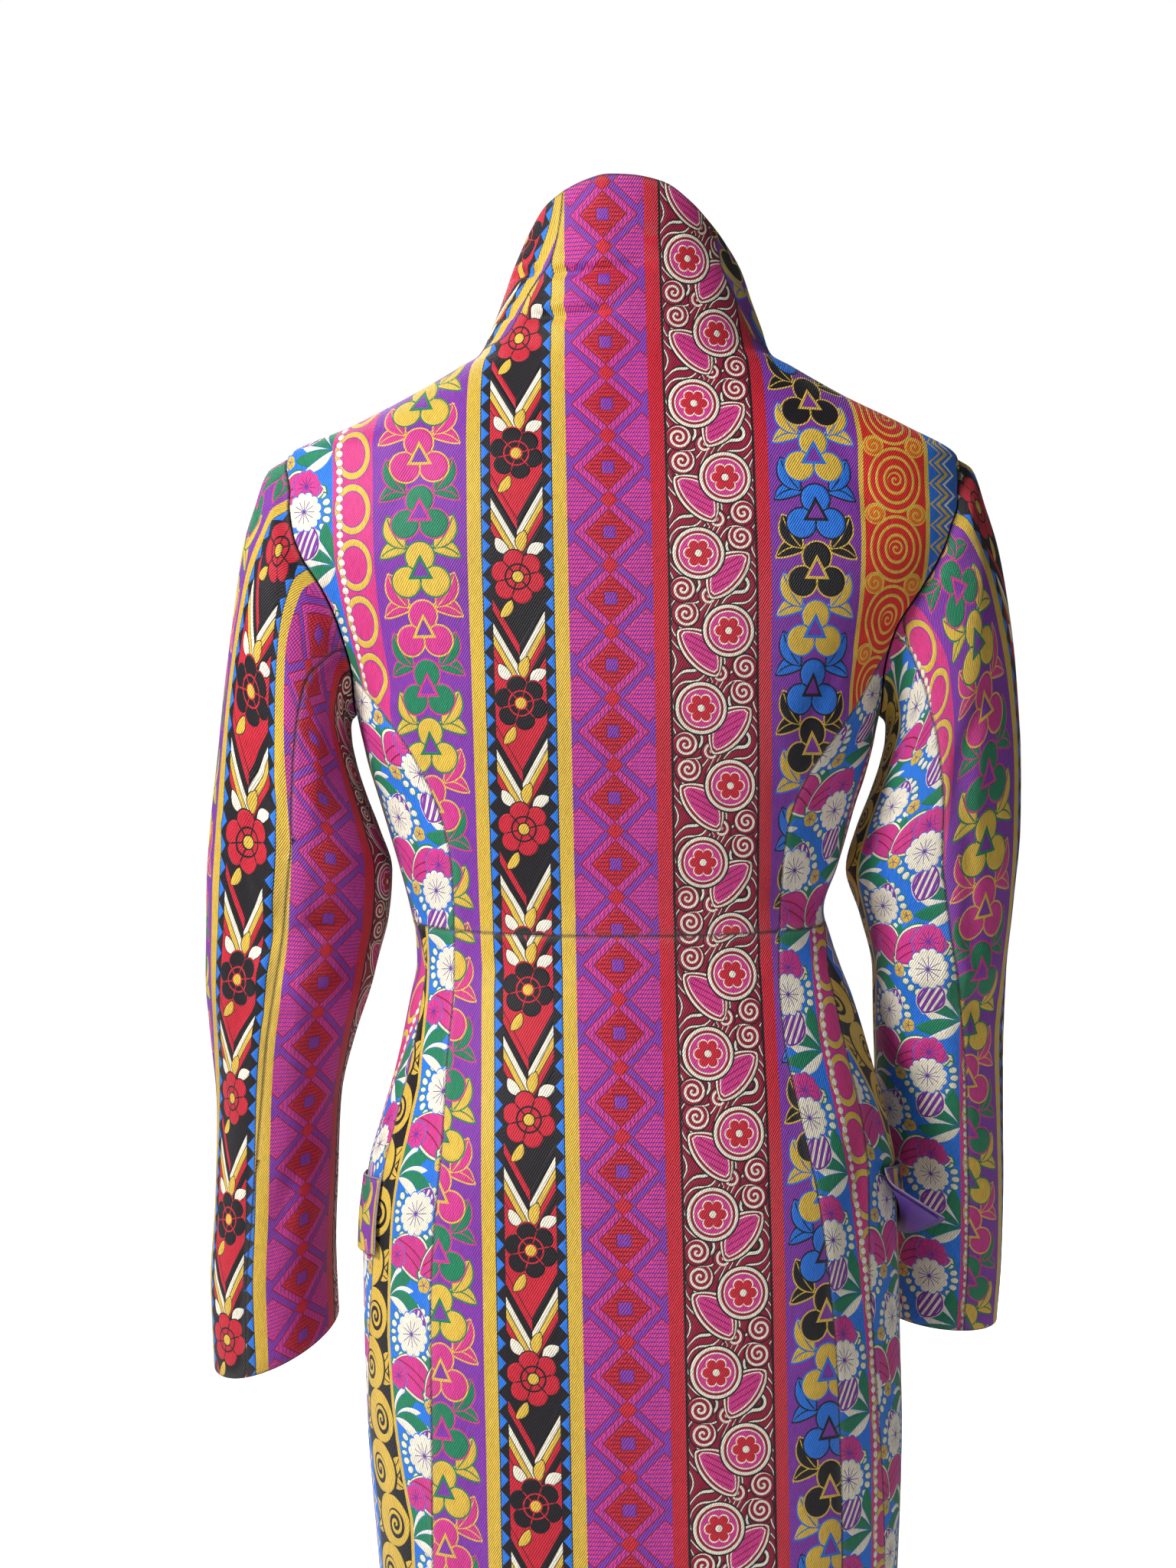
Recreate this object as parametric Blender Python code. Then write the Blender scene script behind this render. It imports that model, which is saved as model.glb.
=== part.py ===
"""Fitted long blazer with a grown-on funnel collar, modelled as hollow worn cloth.

Metres, +Z up. The wearer faces -Y and the wearer's left is +X. The origin is the middle
of the neck, level with the two neck points where shoulder seams and collar seams meet.

The body of the garment is one smooth surface, torso(theta, z): theta is an angle in
degrees round the figure, 0 at the centre back, +90 at the wearer's left side and 180 at
the centre front. Every panel is a patch of that surface between seam lines, made into a
wall of cloth. Each sleeve is a second surface, sleeve(phi, t), lofted from the armhole
to the cuff.
"""
import math

import bpy
import numpy as np

# Cloth, seams and closure, in metres
WALL = 0.002
SEAM_GAP = 0.0003
FRONT_OVERLAP = 0.020
OVERLAP_LIFT = 0.0034
OVERLAP_RAMP = 0.035
OVERLAP_MARGIN = 0.006

# Levels of the garment
HEM_Z = -0.860
WAIST_BACK_Z = -0.3594
WAIST_FRONT_RISE = 0.013
NECK_POINT_Z = 0.0
BACK_NECK_DIP = 0.012
SHOULDER_TIP_Z = -0.0645
UNDERARM_Z = -0.2252
SIDE_SEAM_AT_WAIST = 78.0

# Armholes: how far their edges reach back and forward from the side line, in degrees
ARMHOLE_SWEEP = {"back": 28.0, "front": 31.0}
ARMHOLE_ROUNDNESS = 0.7
ARMHOLE_STEP = 15

# Pocket flaps, hung on a line round the hip and standing a little off it at the bottom
FLAP_Z = {"left": -0.508, "right": -0.5015}
FLAP_SLOPE = 0.006
FLAP_DEPTH = 0.045
FLAP_BACK_THETA = 65.0
FLAP_FRONT_THETA = 118.0
FLAP_STAND_OFF = 0.0012
FLAP_WALL = 0.0016
LINING_WALL = 0.0010
LINING_GAP = 0.0005
FLAP_STAND = 0.0006

# The right flap's back corner is folded out along a slanted line, from the flap's top
# corner to this share of its bottom edge
CORNER_FOLD_END = 0.58
CORNER_FOLD_DEGREES = 68.0
CORNER_FOLD_RADIUS = 0.009

# Shank buttons down the centre front
BUTTON_Z = (-0.185, -0.255, -0.322, -0.398)
BUTTON_RADIUS = 0.0105
BUTTON_HEIGHT = 0.0042
SHANK_RADIUS = 0.0030
SHANK_HEIGHT = 0.0022

# Rings of the body: half-widths left and right of the middle, depths behind and before
# the side line, and how square the ring is (2 is an ellipse)
TORSO = np.array([
    (0.115, 0.0620, 0.0625, 0.0535, 0.056, 2.00),
    (0.090, 0.0630, 0.0635, 0.0520, 0.057, 2.00),
    (0.071, 0.0655, 0.0665, 0.0520, 0.058, 2.00),
    (0.053, 0.0700, 0.0735, 0.0525, 0.059, 2.00),
    (0.035, 0.0758, 0.0800, 0.0540, 0.060, 2.00),
    (0.018, 0.0825, 0.0860, 0.0560, 0.061, 2.02),
    (0.000, 0.0910, 0.0925, 0.0590, 0.062, 2.05),
    (-0.008, 0.1035, 0.1060, 0.0615, 0.063, 2.08),
    (-0.026, 0.1340, 0.1385, 0.0680, 0.065, 2.12),
    (-0.045, 0.1705, 0.1765, 0.0750, 0.068, 2.18),
    (-0.0645, 0.2105, 0.2085, 0.0815, 0.073, 2.22),
    (-0.085, 0.2130, 0.2120, 0.0870, 0.080, 2.22),
    (-0.100, 0.2185, 0.2160, 0.0905, 0.086, 2.22),
    (-0.118, 0.2215, 0.2160, 0.0938, 0.094, 2.22),
    (-0.130, 0.2190, 0.2130, 0.0955, 0.099, 2.22),
    (-0.148, 0.2073, 0.2025, 0.0972, 0.106, 2.22),
    (-0.175, 0.1893, 0.1795, 0.0982, 0.114, 2.22),
    (-0.203, 0.1732, 0.1645, 0.0978, 0.119, 2.22),
    (-0.229, 0.1661, 0.1585, 0.0958, 0.120, 2.22),
    (-0.254, 0.1603, 0.1530, 0.0922, 0.117, 2.22),
    (-0.287, 0.1500, 0.1426, 0.0862, 0.109, 2.20),
    (-0.320, 0.1406, 0.1332, 0.0805, 0.101, 2.20),
    (-0.346, 0.1338, 0.1248, 0.0778, 0.097, 2.20),
    (-0.362, 0.1303, 0.1288, 0.0776, 0.096, 2.20),
    (-0.379, 0.1295, 0.1344, 0.0805, 0.097, 2.20),
    (-0.400, 0.1335, 0.1426, 0.0875, 0.100, 2.22),
    (-0.440, 0.1418, 0.1546, 0.1015, 0.106, 2.26),
    (-0.477, 0.1523, 0.1645, 0.1120, 0.110, 2.30),
    (-0.504, 0.1597, 0.1694, 0.1172, 0.112, 2.30),
    (-0.543, 0.1631, 0.1705, 0.1215, 0.114, 2.30),
    (-0.606, 0.1622, 0.1723, 0.1225, 0.115, 2.30),
    (-0.665, 0.1603, 0.1735, 0.1205, 0.116, 2.30),
    (-0.760, 0.1525, 0.1704, 0.1185, 0.117, 2.28),
    (-0.860, 0.1480, 0.1675, 0.1175, 0.118, 2.28),
], dtype=[(name, float) for name in ("z", "left", "right", "back", "front", "square")])

# Princess seams from the armhole down to the hem, as distances from the middle
PRINCESS = {
    "left": np.array([
        (-0.2243, 0.1480), (-0.2388, 0.1368), (-0.2541, 0.1270), (-0.2700, 0.1187),
        (-0.2953, 0.1095), (-0.3220, 0.1050), (-0.3594, 0.1040), (-0.3920, 0.1040),
        (-0.4290, 0.1070), (-0.4840, 0.1096), (-0.5320, 0.1140), (-0.5780, 0.1160),
        (-0.6300, 0.1155), (-0.7400, 0.1150), (-0.8600, 0.1140),
    ], dtype=[("z", float), ("x", float)]),
    "right": np.array([
        (-0.2000, 0.1525), (-0.2170, 0.1430), (-0.2360, 0.1295), (-0.2513, 0.1180),
        (-0.2657, 0.1087), (-0.2833, 0.1010), (-0.3014, 0.0970), (-0.3324, 0.0945),
        (-0.3594, 0.0935), (-0.3840, 0.0928), (-0.4200, 0.0950), (-0.4560, 0.1020),
        (-0.5180, 0.1150), (-0.5640, 0.1210), (-0.6240, 0.1260), (-0.7400, 0.1290),
        (-0.8600, 0.1290),
    ], dtype=[("z", float), ("x", float)]),
}
PRINCESS_JOINS_ARMHOLE = {"left": -45, "right": -30}

# Side seams of the skirt, as angles; they sit behind the true side
SKIRT_SIDE = np.array([
    (-0.3546, 78.0, 78.0),
    (-0.384, 69.5, 65.5),
    (-0.415, 67.5, 61.5),
    (-0.457, 66.5, 60.0),
    (-0.500, 65.5, 58.0),
    (-0.555, 69.0, 57.0),
    (-0.630, 76.0, 59.0),
    (-0.746, 84.0, 66.0),
    (-0.860, 86.0, 72.0),
], dtype=[(name, float) for name in ("z", "left", "right")])

# Collar seam, running up from the neck point to the collar's top edge
COLLAR_SEAM = {
    "left": np.array([
        (0.0, 0.0910), (0.007, 0.0745), (0.017, 0.0670), (0.033, 0.0593), (0.054, 0.0450),
        (0.076, 0.0400), (0.095, 0.0380),
    ], dtype=[("z", float), ("x", float)]),
    "right": np.array([
        (0.0, 0.0925), (0.007, 0.0805), (0.016, 0.0750), (0.033, 0.0675), (0.050, 0.0600),
        (0.066, 0.0560), (0.0775, 0.0535),
    ], dtype=[("z", float), ("x", float)]),
}

# Top edge of the collar's back, from the left seam to the right seam
COLLAR_TOP = np.array([
    (0.0380, 0.0950), (0.0250, 0.1000), (0.0110, 0.1030), (-0.0030, 0.1025),
    (-0.0235, 0.0990), (-0.0400, 0.0895), (-0.0535, 0.0775),
], dtype=[("x", float), ("z", float)])

# Height on the neck edge where the front collar's grid turns its corner
COLLAR_CORNER_Z = {"left": 0.070, "right": 0.062}

# Free edge of each front, from the overlap up the neck to the top of the collar seam
NECK_EDGE = {
    "left": np.array([
        (180.0, -0.1480), (178.0, -0.1360), (174.5, -0.1080), (169.5, -0.0760),
        (160.5, -0.0420), (141.0, -0.0120), (118.0, 0.0100), (101.0, 0.0280),
        (88.0, 0.0440), (76.5, 0.0580), (64.5, 0.0735), (52.0, 0.0868), (37.1, 0.0950),
    ], dtype=[("theta", float), ("z", float)]),
    "right": np.array([
        (180.0, -0.1480), (178.0, -0.1360), (174.5, -0.1080), (169.5, -0.0760),
        (160.5, -0.0420), (141.0, -0.0120), (118.5, 0.0100), (103.0, 0.0270),
        (90.5, 0.0420), (78.5, 0.0560), (67.0, 0.0685), (54.9, 0.0775),
    ], dtype=[("theta", float), ("z", float)]),
}

# Sleeve sections: outer and inner points seen from behind, the section's middle and half
# depth front to back, and how far the back of the section dips below its middle
SLEEVE_COLUMNS = ("t", "out_x", "out_z", "in_x", "in_z", "y", "depth", "dip")
SLEEVE = {
    "left": np.array([
        (0.00, 0.2105, -0.0645, 0.1672, -0.2252, 0.000, 0.053, 0.000),
        (0.03, 0.2221, -0.0720, 0.1700, -0.2285, 0.000, 0.056, 0.000),
        (0.07, 0.2303, -0.0930, 0.1712, -0.2335, -0.001, 0.059, 0.000),
        (0.13, 0.2386, -0.1200, 0.1708, -0.2420, -0.002, 0.061, 0.001),
        (0.20, 0.2445, -0.1600, 0.1680, -0.2560, -0.003, 0.062, 0.002),
        (0.28, 0.2500, -0.2060, 0.1618, -0.2760, -0.004, 0.062, 0.003),
        (0.36, 0.2552, -0.2500, 0.1535, -0.2980, -0.006, 0.061, 0.004),
        (0.44, 0.2604, -0.2940, 0.1458, -0.3230, -0.009, 0.060, 0.005),
        (0.52, 0.2640, -0.3400, 0.1470, -0.3520, -0.014, 0.058, 0.006),
        (0.60, 0.2653, -0.3850, 0.1560, -0.3870, -0.021, 0.056, 0.008),
        (0.68, 0.2630, -0.4290, 0.1705, -0.4270, -0.030, 0.053, 0.009),
        (0.76, 0.2604, -0.4750, 0.1805, -0.4680, -0.040, 0.050, 0.010),
        (0.84, 0.2625, -0.5320, 0.1838, -0.5180, -0.050, 0.048, 0.011),
        (0.92, 0.2668, -0.5900, 0.1855, -0.5680, -0.061, 0.0465, 0.012),
        (1.00, 0.2662, -0.6440, 0.1850, -0.6130, -0.071, 0.045, 0.013),
    ], dtype=[(name, float) for name in SLEEVE_COLUMNS]),
    "right": np.array([
        (0.00, 0.2085, -0.0645, 0.1595, -0.2252, 0.000, 0.053, 0.000),
        (0.03, 0.2165, -0.0700, 0.1628, -0.2285, 0.000, 0.056, 0.000),
        (0.07, 0.2250, -0.0920, 0.1645, -0.2335, -0.001, 0.059, 0.000),
        (0.13, 0.2345, -0.1210, 0.1642, -0.2420, -0.002, 0.061, 0.001),
        (0.20, 0.2410, -0.1600, 0.1612, -0.2560, -0.003, 0.062, 0.002),
        (0.28, 0.2465, -0.2060, 0.1545, -0.2760, -0.005, 0.062, 0.003),
        (0.36, 0.2493, -0.2500, 0.1462, -0.2980, -0.008, 0.061, 0.004),
        (0.44, 0.2498, -0.2940, 0.1400, -0.3230, -0.012, 0.059, 0.005),
        (0.52, 0.2462, -0.3400, 0.1490, -0.3520, -0.018, 0.057, 0.006),
        (0.60, 0.2428, -0.3850, 0.1585, -0.3870, -0.026, 0.054, 0.008),
        (0.68, 0.2432, -0.4290, 0.1605, -0.4270, -0.038, 0.051, 0.008),
        (0.76, 0.2452, -0.4770, 0.1630, -0.4700, -0.053, 0.049, 0.007),
        (0.84, 0.2476, -0.5290, 0.1672, -0.5170, -0.069, 0.047, 0.006),
        (0.92, 0.2488, -0.5780, 0.1700, -0.5650, -0.085, 0.045, 0.006),
        (1.00, 0.2474, -0.6200, 0.1705, -0.6120, -0.097, 0.043, 0.005),
    ], dtype=[(name, float) for name in SLEEVE_COLUMNS]),
}
SLEEVE_ROWS = np.array([0.0, 0.03, 0.07, 0.12, 0.18, 0.25, 0.32, 0.39, 0.45, 0.51, 0.57, 0.63,
                        0.69, 0.76, 0.84, 0.92, 1.0])
ARMHOLE_BLEND_END = 0.16

# Sleeve seams, as angles round the section: 90 outside, 0 behind, -90 against the body
SLEEVE_SEAMS = np.array([
    (0.00, -30.0, -15.0, -120.0),
    (0.05, -27.0, -24.0, -123.0),
    (0.13, -20.0, -27.0, -129.0),
    (0.26, -8.0, -14.0, -138.0),
    (0.38, -1.0, -3.0, -144.0),
    (0.53, 3.0, 2.0, -149.0),
    (0.62, 5.0, 9.0, -150.0),
    (0.72, 8.0, 16.0, -150.0),
    (0.85, 16.0, 17.0, -150.0),
    (1.00, 22.0, 17.0, -150.0),
], dtype=[(name, float) for name in ("t", "left", "right", "front")])

# Broad folds of the sleeves: centre, half-lengths along and round, drift in degrees over
# the whole sleeve, and height (negative is a trough)
FOLD_COLUMNS = ("t", "phi", "run", "spread", "drift", "height")
SLEEVE_FOLDS = {
    "left": np.array([
        (0.30, 48.0, 0.20, 16.0, 60.0, 0.0022),
        (0.36, 22.0, 0.18, 14.0, 70.0, -0.0026),
        (0.55, -50.0, 0.06, 45.0, -200.0, -0.0045),
        (0.62, -20.0, 0.07, 38.0, 240.0, 0.0032),
        (0.70, 60.0, 0.14, 18.0, -90.0, -0.0026),
        (0.56, 180.0, 0.07, 55.0, 60.0, -0.0048),
        (0.64, 150.0, 0.06, 45.0, 120.0, 0.0030),
    ], dtype=[(name, float) for name in FOLD_COLUMNS]),
    "right": np.array([
        (0.28, 42.0, 0.18, 16.0, -40.0, -0.0022),
        (0.50, -45.0, 0.06, 40.0, 200.0, -0.0034),
        (0.57, -15.0, 0.06, 36.0, -160.0, 0.0026),
        (0.66, 55.0, 0.13, 18.0, 60.0, -0.0022),
        (0.54, 180.0, 0.07, 55.0, -60.0, -0.0048),
        (0.63, 200.0, 0.06, 45.0, -120.0, 0.0030),
    ], dtype=[(name, float) for name in FOLD_COLUMNS]),
}

# Grid counts: segments along and across each panel
PRINCESS_ROWS = {"left": 7, "right": 8}
SHOULDER_COLUMNS = 5
COLLAR_COLUMNS = 8
COLLAR_ROWS = 5
NECK_COLUMNS = 7
SKIRT_ROWS = 12
SKIRT_ROW_GROWTH = 1.15
FLAP_ACROSS = np.array([0.0, 0.02, 0.09, 0.17, 0.26, 0.35, 0.45, 0.57, 0.71, 0.86, 0.98, 1.0])
FLAP_DOWN = np.array([0.0, 0.22, 0.44, 0.68, 0.93, 1.0])

SIGN = {"left": 1.0, "right": -1.0}
BACK_MIDDLE = 0.0
FRONT_MIDDLE = 180.0

COLOURS = {
    "jacquard_back": (0.42, 0.07, 0.35),
    "jacquard_side": (0.05, 0.20, 0.62),
    "jacquard_front": (0.45, 0.05, 0.22),
    "jacquard_sleeve": (0.38, 0.05, 0.18),
    "flap_lining": (0.12, 0.03, 0.30),
    "button": (0.06, 0.02, 0.12),
}


def smooth(at, xs, ys):
    """Monotone cubic through the points (xs, ys), read at the values in at."""
    order = np.argsort(xs)
    xs = np.asarray(xs, float)[order]
    ys = np.asarray(ys, float)[order]
    step = np.diff(xs)
    slope = np.diff(ys) / step
    tangent = np.empty_like(ys)
    tangent[0] = slope[0]
    tangent[-1] = slope[-1]
    same_way = slope[:-1] * slope[1:] > 0
    safe_a = np.where(same_way, slope[:-1], 1.0)
    safe_b = np.where(same_way, slope[1:], 1.0)
    weight_a = 2 * step[1:] + step[:-1]
    weight_b = step[1:] + 2 * step[:-1]
    mean = (weight_a + weight_b) / (weight_a / safe_a + weight_b / safe_b)
    tangent[1:-1] = np.where(same_way, mean, 0.0)
    at = np.clip(at, xs[0], xs[-1])
    i = np.clip(np.searchsorted(xs, at) - 1, 0, len(xs) - 2)
    u = (at - xs[i]) / step[i]
    a = (1 + 2 * u) * (1 - u) ** 2
    b = u * (1 - u) ** 2
    c = u * u * (3 - 2 * u)
    d = u * u * (u - 1)
    return a * ys[i] + b * step[i] * tangent[i] + c * ys[i + 1] + d * step[i] * tangent[i + 1]


def torso_row(name, z):
    """One column of the body's ring table, read at heights z."""
    return smooth(z, TORSO["z"], TORSO[name])


def torso(theta, z):
    """Points of the body surface at angles theta and heights z."""
    theta, z = np.broadcast_arrays(np.asarray(theta, float), np.asarray(z, float))
    across = np.sin(np.radians(theta))
    along = np.cos(np.radians(theta))
    power = 2.0 / torso_row("square", z)
    half = np.where(across >= 0, torso_row("left", z), torso_row("right", z))
    deep = np.where(along >= 0, torso_row("back", z), torso_row("front", z))
    x = half * np.sign(across) * np.abs(across) ** power
    y = deep * np.sign(along) * np.abs(along) ** power
    return np.stack([x, y, z], axis=-1)


def torso_normal(theta, z):
    """Outward unit normals of the body surface, by small steps each way."""
    turn = 0.6
    rise = 0.0015
    du = torso(theta + turn, z) - torso(theta - turn, z)
    dz = torso(theta, z + rise) - torso(theta, z - rise)
    normal = np.cross(dz, du)
    normal /= np.linalg.norm(normal, axis=-1, keepdims=True)
    outward = torso(theta, z) * (1.0, 1.0, 0.0)
    flip = np.sign(np.sum(normal * outward, axis=-1, keepdims=True))
    return normal * flip


def back_theta(x, z):
    """The angle on the back half whose point lies at x, at height z."""
    half = np.where(x >= 0, torso_row("left", z), torso_row("right", z))
    share = np.clip(np.abs(x) / half, 0.0, 1.0) ** (torso_row("square", z) / 2.0)
    return np.sign(x) * np.degrees(np.arcsin(share))


def waist_z(theta):
    """Height of the waist seam, which rises a little towards the sides and front."""
    return WAIST_BACK_Z + WAIST_FRONT_RISE * np.sin(np.radians(theta) / 2) ** 2


def armhole(phi, side):
    """(theta, z) of the armhole at angles phi: 90 at the shoulder, 0 behind, -90 under."""
    phi = np.asarray(phi, float)
    fall = (1 - np.sin(np.radians(phi))) / 2
    behind = np.cos(np.radians(phi)) >= 0
    sweep = np.where(behind, -ARMHOLE_SWEEP["back"], ARMHOLE_SWEEP["front"])
    bulge = np.sin(np.pi * np.clip(fall, 0, 1)) ** ARMHOLE_ROUNDNESS
    theta = 90.0 + sweep * bulge
    z = SHOULDER_TIP_Z + (UNDERARM_Z - SHOULDER_TIP_Z) * fall
    return np.stack([SIGN[side] * theta, z], axis=-1)


def run_along(points):
    """Distance along a polyline at each of its points."""
    return np.concatenate([[0.0], np.cumsum(np.linalg.norm(np.diff(points, axis=0), axis=1))])


def even_on_body(line, count):
    """Spaces a line of (theta, z) evenly along the body, ends kept."""
    line = np.asarray(line, float)
    knots = np.arange(len(line))
    fine_at = np.linspace(0, len(line) - 1, 12 * len(line))
    fine = np.stack([smooth(fine_at, knots, line[:, k]) for k in range(2)], axis=-1)
    run = run_along(torso(fine[:, 0], fine[:, 1]))
    at = np.linspace(0.0, run[-1], count + 1)
    return np.stack([np.interp(at, run, fine[:, k]) for k in range(2)], axis=-1)


def princess_xz(side, z):
    """Distance from the middle of the princess seam at heights z."""
    table = PRINCESS[side]
    top = armhole(PRINCESS_JOINS_ARMHOLE[side], side)
    top_x = abs(torso(top[0], top[1])[0])
    zs = np.append(table["z"], top[1])
    xs = np.append(table["x"], top_x)
    return smooth(z, zs, xs)


def princess_theta(side, z):
    """Angle of the princess seam at heights z."""
    return back_theta(SIGN[side] * princess_xz(side, z), z)


def waist_corner(theta_at):
    """(theta, z) where a seam crosses the waist seam."""
    z = WAIST_BACK_Z
    for _ in range(4):
        theta = theta_at(z)
        z = waist_z(theta)
    return theta, z


def princess_bodice(side):
    """(theta, z) down the bodice part of the princess seam, armhole to waist."""
    top = armhole(PRINCESS_JOINS_ARMHOLE[side], side)[1]
    bottom = waist_corner(lambda z: princess_theta(side, z))[1]
    z = np.linspace(top, bottom, PRINCESS_ROWS[side] + 1)
    return np.stack([princess_theta(side, z), z], axis=-1)


def side_seam_bodice(side):
    """(theta, z) down the bodice side seam, underarm to waist."""
    share = np.linspace(0.0, 1.0, PRINCESS_ROWS[side] + 1)
    theta = 90.0 + (SIDE_SEAM_AT_WAIST - 90.0) * share
    z = UNDERARM_Z + (waist_z(SIDE_SEAM_AT_WAIST) - UNDERARM_Z) * share
    return np.stack([SIGN[side] * theta, z], axis=-1)


def front_edge_theta(side, z):
    """Angle of the front edge, which passes the middle by the overlap."""
    other = "right" if side == "left" else "left"
    half = torso_row(other, z)
    share = (FRONT_OVERLAP / half) ** (torso_row("square", z) / 2.0)
    return SIGN[side] * (180.0 + np.degrees(np.arcsin(share)))


def ring_size(z):
    """Mean radius of the body's ring at heights z."""
    return sum(torso_row(name, z) for name in ("left", "right", "back", "front")) / 4


def flattened(line, middle):
    """(theta, z) as (distance round the body from the middle, z), the way cloth lies flat."""
    return np.stack([np.radians(line[..., 0] - middle) * ring_size(line[..., 1]), line[..., 1]], axis=-1)


def coons(bottom, top, left, right, s, t, middle):
    """Grid of (theta, z) between four edge lines that share their corners.

    Rows run bottom to top. The grid is laid out on the flattened cloth.
    """
    bottom, top, left, right = (flattened(line, middle) for line in (bottom, top, left, right))
    s = s[None, :, None]
    t = t[:, None, None]
    ruled = (1 - t) * bottom[None] + t * top[None] + (1 - s) * left[:, None] + s * right[:, None]
    corners = (
        (1 - s) * (1 - t) * bottom[0] + s * (1 - t) * bottom[-1]
        + (1 - s) * t * top[0] + s * t * top[-1]
    )
    flat = ruled - corners
    theta = middle + np.degrees(flat[..., 0] / ring_size(flat[..., 1]))
    return np.stack([theta, flat[..., 1]], axis=-1)


def join_grids(grids):
    """Merges grids of (points, normals) along the edges they share, with their quads."""
    numbers = {}
    points = []
    normals = []
    quads = []
    for grid, grid_normal in grids:
        rows, columns = grid.shape[:2]
        at = np.empty((rows, columns), int)
        for r in range(rows):
            for c in range(columns):
                key = tuple(np.round(grid[r, c], 6))
                if key not in numbers:
                    numbers[key] = len(points)
                    points.append(grid[r, c])
                    normals.append(grid_normal[r, c])
                at[r, c] = numbers[key]
        for r in range(rows - 1):
            for c in range(columns - 1):
                quads.append((at[r, c], at[r, c + 1], at[r + 1, c + 1], at[r + 1, c]))
    return np.array(points), np.array(normals), quads


def facing_out(points, normals, quads):
    """The quads, turned so that they run anticlockwise seen from outside."""
    total = 0.0
    for a, b, c, d in quads:
        total += np.cross(points[c] - points[a], points[d] - points[b]) @ normals[a]
    return quads if total > 0 else [quad[::-1] for quad in quads]


def rim_edges(quads):
    """The directed edges that only one quad uses."""
    edges = {}
    for quad in quads:
        for a, b in zip(quad, quad[1:] + quad[:1]):
            edges[a, b] = True
    return [(a, b) for a, b in edges if (b, a) not in edges]


def shrink_rim(points, normals, rim, amount):
    """Pulls the rim inwards along the surface, mitred at its corners."""
    inward = {}
    for a, b in rim:
        for point in (a, b):
            across = np.cross(normals[point], points[b] - points[a])
            inward.setdefault(point, []).append(across / np.linalg.norm(across))
    pulled = points.copy()
    for point, (one, two) in inward.items():
        pulled[point] += (one + two) / max(1 + one @ two, 0.25) * amount
    return pulled


def wall_mesh(name, grids, wall, material):
    """A closed wall of cloth: outer grids, a copy of them moved inwards, and the rim.

    Both faces of the cloth are split along each quad's shorter diagonal. The rim is split from one
    end of each edge by its place, so that the two sides of a seam run parallel.
    """
    points, normals, quads = join_grids(grids)
    quads = facing_out(points, normals, quads)
    rim = rim_edges(quads)
    outer = shrink_rim(points, normals, rim, SEAM_GAP / 2)
    inner = outer - normals * wall
    count = len(outer)
    faces = []
    for quad in quads:
        a, b, c, d = quad
        if np.linalg.norm(points[b] - points[d]) < np.linalg.norm(points[a] - points[c]):
            a, b, c, d = b, c, d, a
        faces += [(a, b, c), (a, c, d)]
        faces += [(c + count, b + count, a + count), (d + count, c + count, a + count)]
    for a, b in rim:
        if tuple(np.round(points[a], 5)) < tuple(np.round(points[b], 5)):
            faces += [(b, a, b + count), (a, a + count, b + count)]
        else:
            faces += [(b, a, a + count), (b, a + count, b + count)]
    return mesh_object(name, np.concatenate([outer, inner]), faces, material)


def mesh_object(name, points, faces, material):
    """Adds one closed mesh to the scene with its faces turned outwards."""
    mesh = bpy.data.meshes.new(name)
    mesh.from_pydata([tuple(map(float, p)) for p in points], [], [tuple(map(int, f)) for f in faces])
    mesh.validate()
    mesh.materials.append(material)
    mesh.shade_smooth()
    mesh.set_sharp_from_angle(angle=math.radians(50))
    if signed_volume(mesh) < 0:
        mesh.flip_normals()
    part = bpy.data.objects.new(name, mesh)
    bpy.context.scene.collection.objects.link(part)
    return part


def signed_volume(mesh):
    """Volume of a closed mesh, negative when its faces point inwards."""
    total = 0.0
    for face in mesh.polygons:
        first = mesh.vertices[face.vertices[0]].co
        for k in range(1, len(face.vertices) - 1):
            second = mesh.vertices[face.vertices[k]].co
            third = mesh.vertices[face.vertices[k + 1]].co
            total += first.dot(second.cross(third))
    return total / 6.0


def torso_panel(name, grids, material, side=None):
    """A panel of the body: grids of (theta, z) made into a wall of cloth."""
    surfaces = []
    for grid in grids:
        theta = grid[..., 0]
        z = grid[..., 1]
        normals = torso_normal(theta, z)
        lift = front_lift(side, theta, z) if side else np.zeros_like(theta)
        surfaces.append((torso(theta, z) + normals * lift[..., None], normals))
    return wall_mesh(name, surfaces, WALL, material)


def shares(*lines):
    """Mean share of the way along several lines of equal count, from 0 to 1."""
    runs = [run_along(torso(line[:, 0], line[:, 1])) for line in lines]
    return sum(run / run[-1] for run in runs) / len(runs)


def waist_line(first, last, share):
    """(theta, z) along the waist seam between two angles."""
    theta = first + (last - first) * share
    return np.stack([theta, waist_z(theta)], axis=-1)


def column_shares(top, middle):
    """Where a panel's columns stand, as shares of the width of its top line."""
    across = flattened(top, middle)[:, 0]
    return (across - across[0]) / (across[-1] - across[0])


def back_top_line():
    """(theta, z) over the left shoulder, across the neck and down the right shoulder."""
    left = shoulder_seam("left")
    right = shoulder_seam("right")[::-1]
    return np.concatenate([left[:-1], back_neck_line(), right[1:]])


def back_neck_line():
    """(theta, z) across the back between the neck points, where the collar grows on."""
    theta = np.linspace(90.0, -90.0, 25)
    z = NECK_POINT_Z - BACK_NECK_DIP * np.sqrt(1 - (theta / 90.0) ** 2)
    return even_on_body(np.stack([theta, z], axis=-1), COLLAR_COLUMNS)


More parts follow.
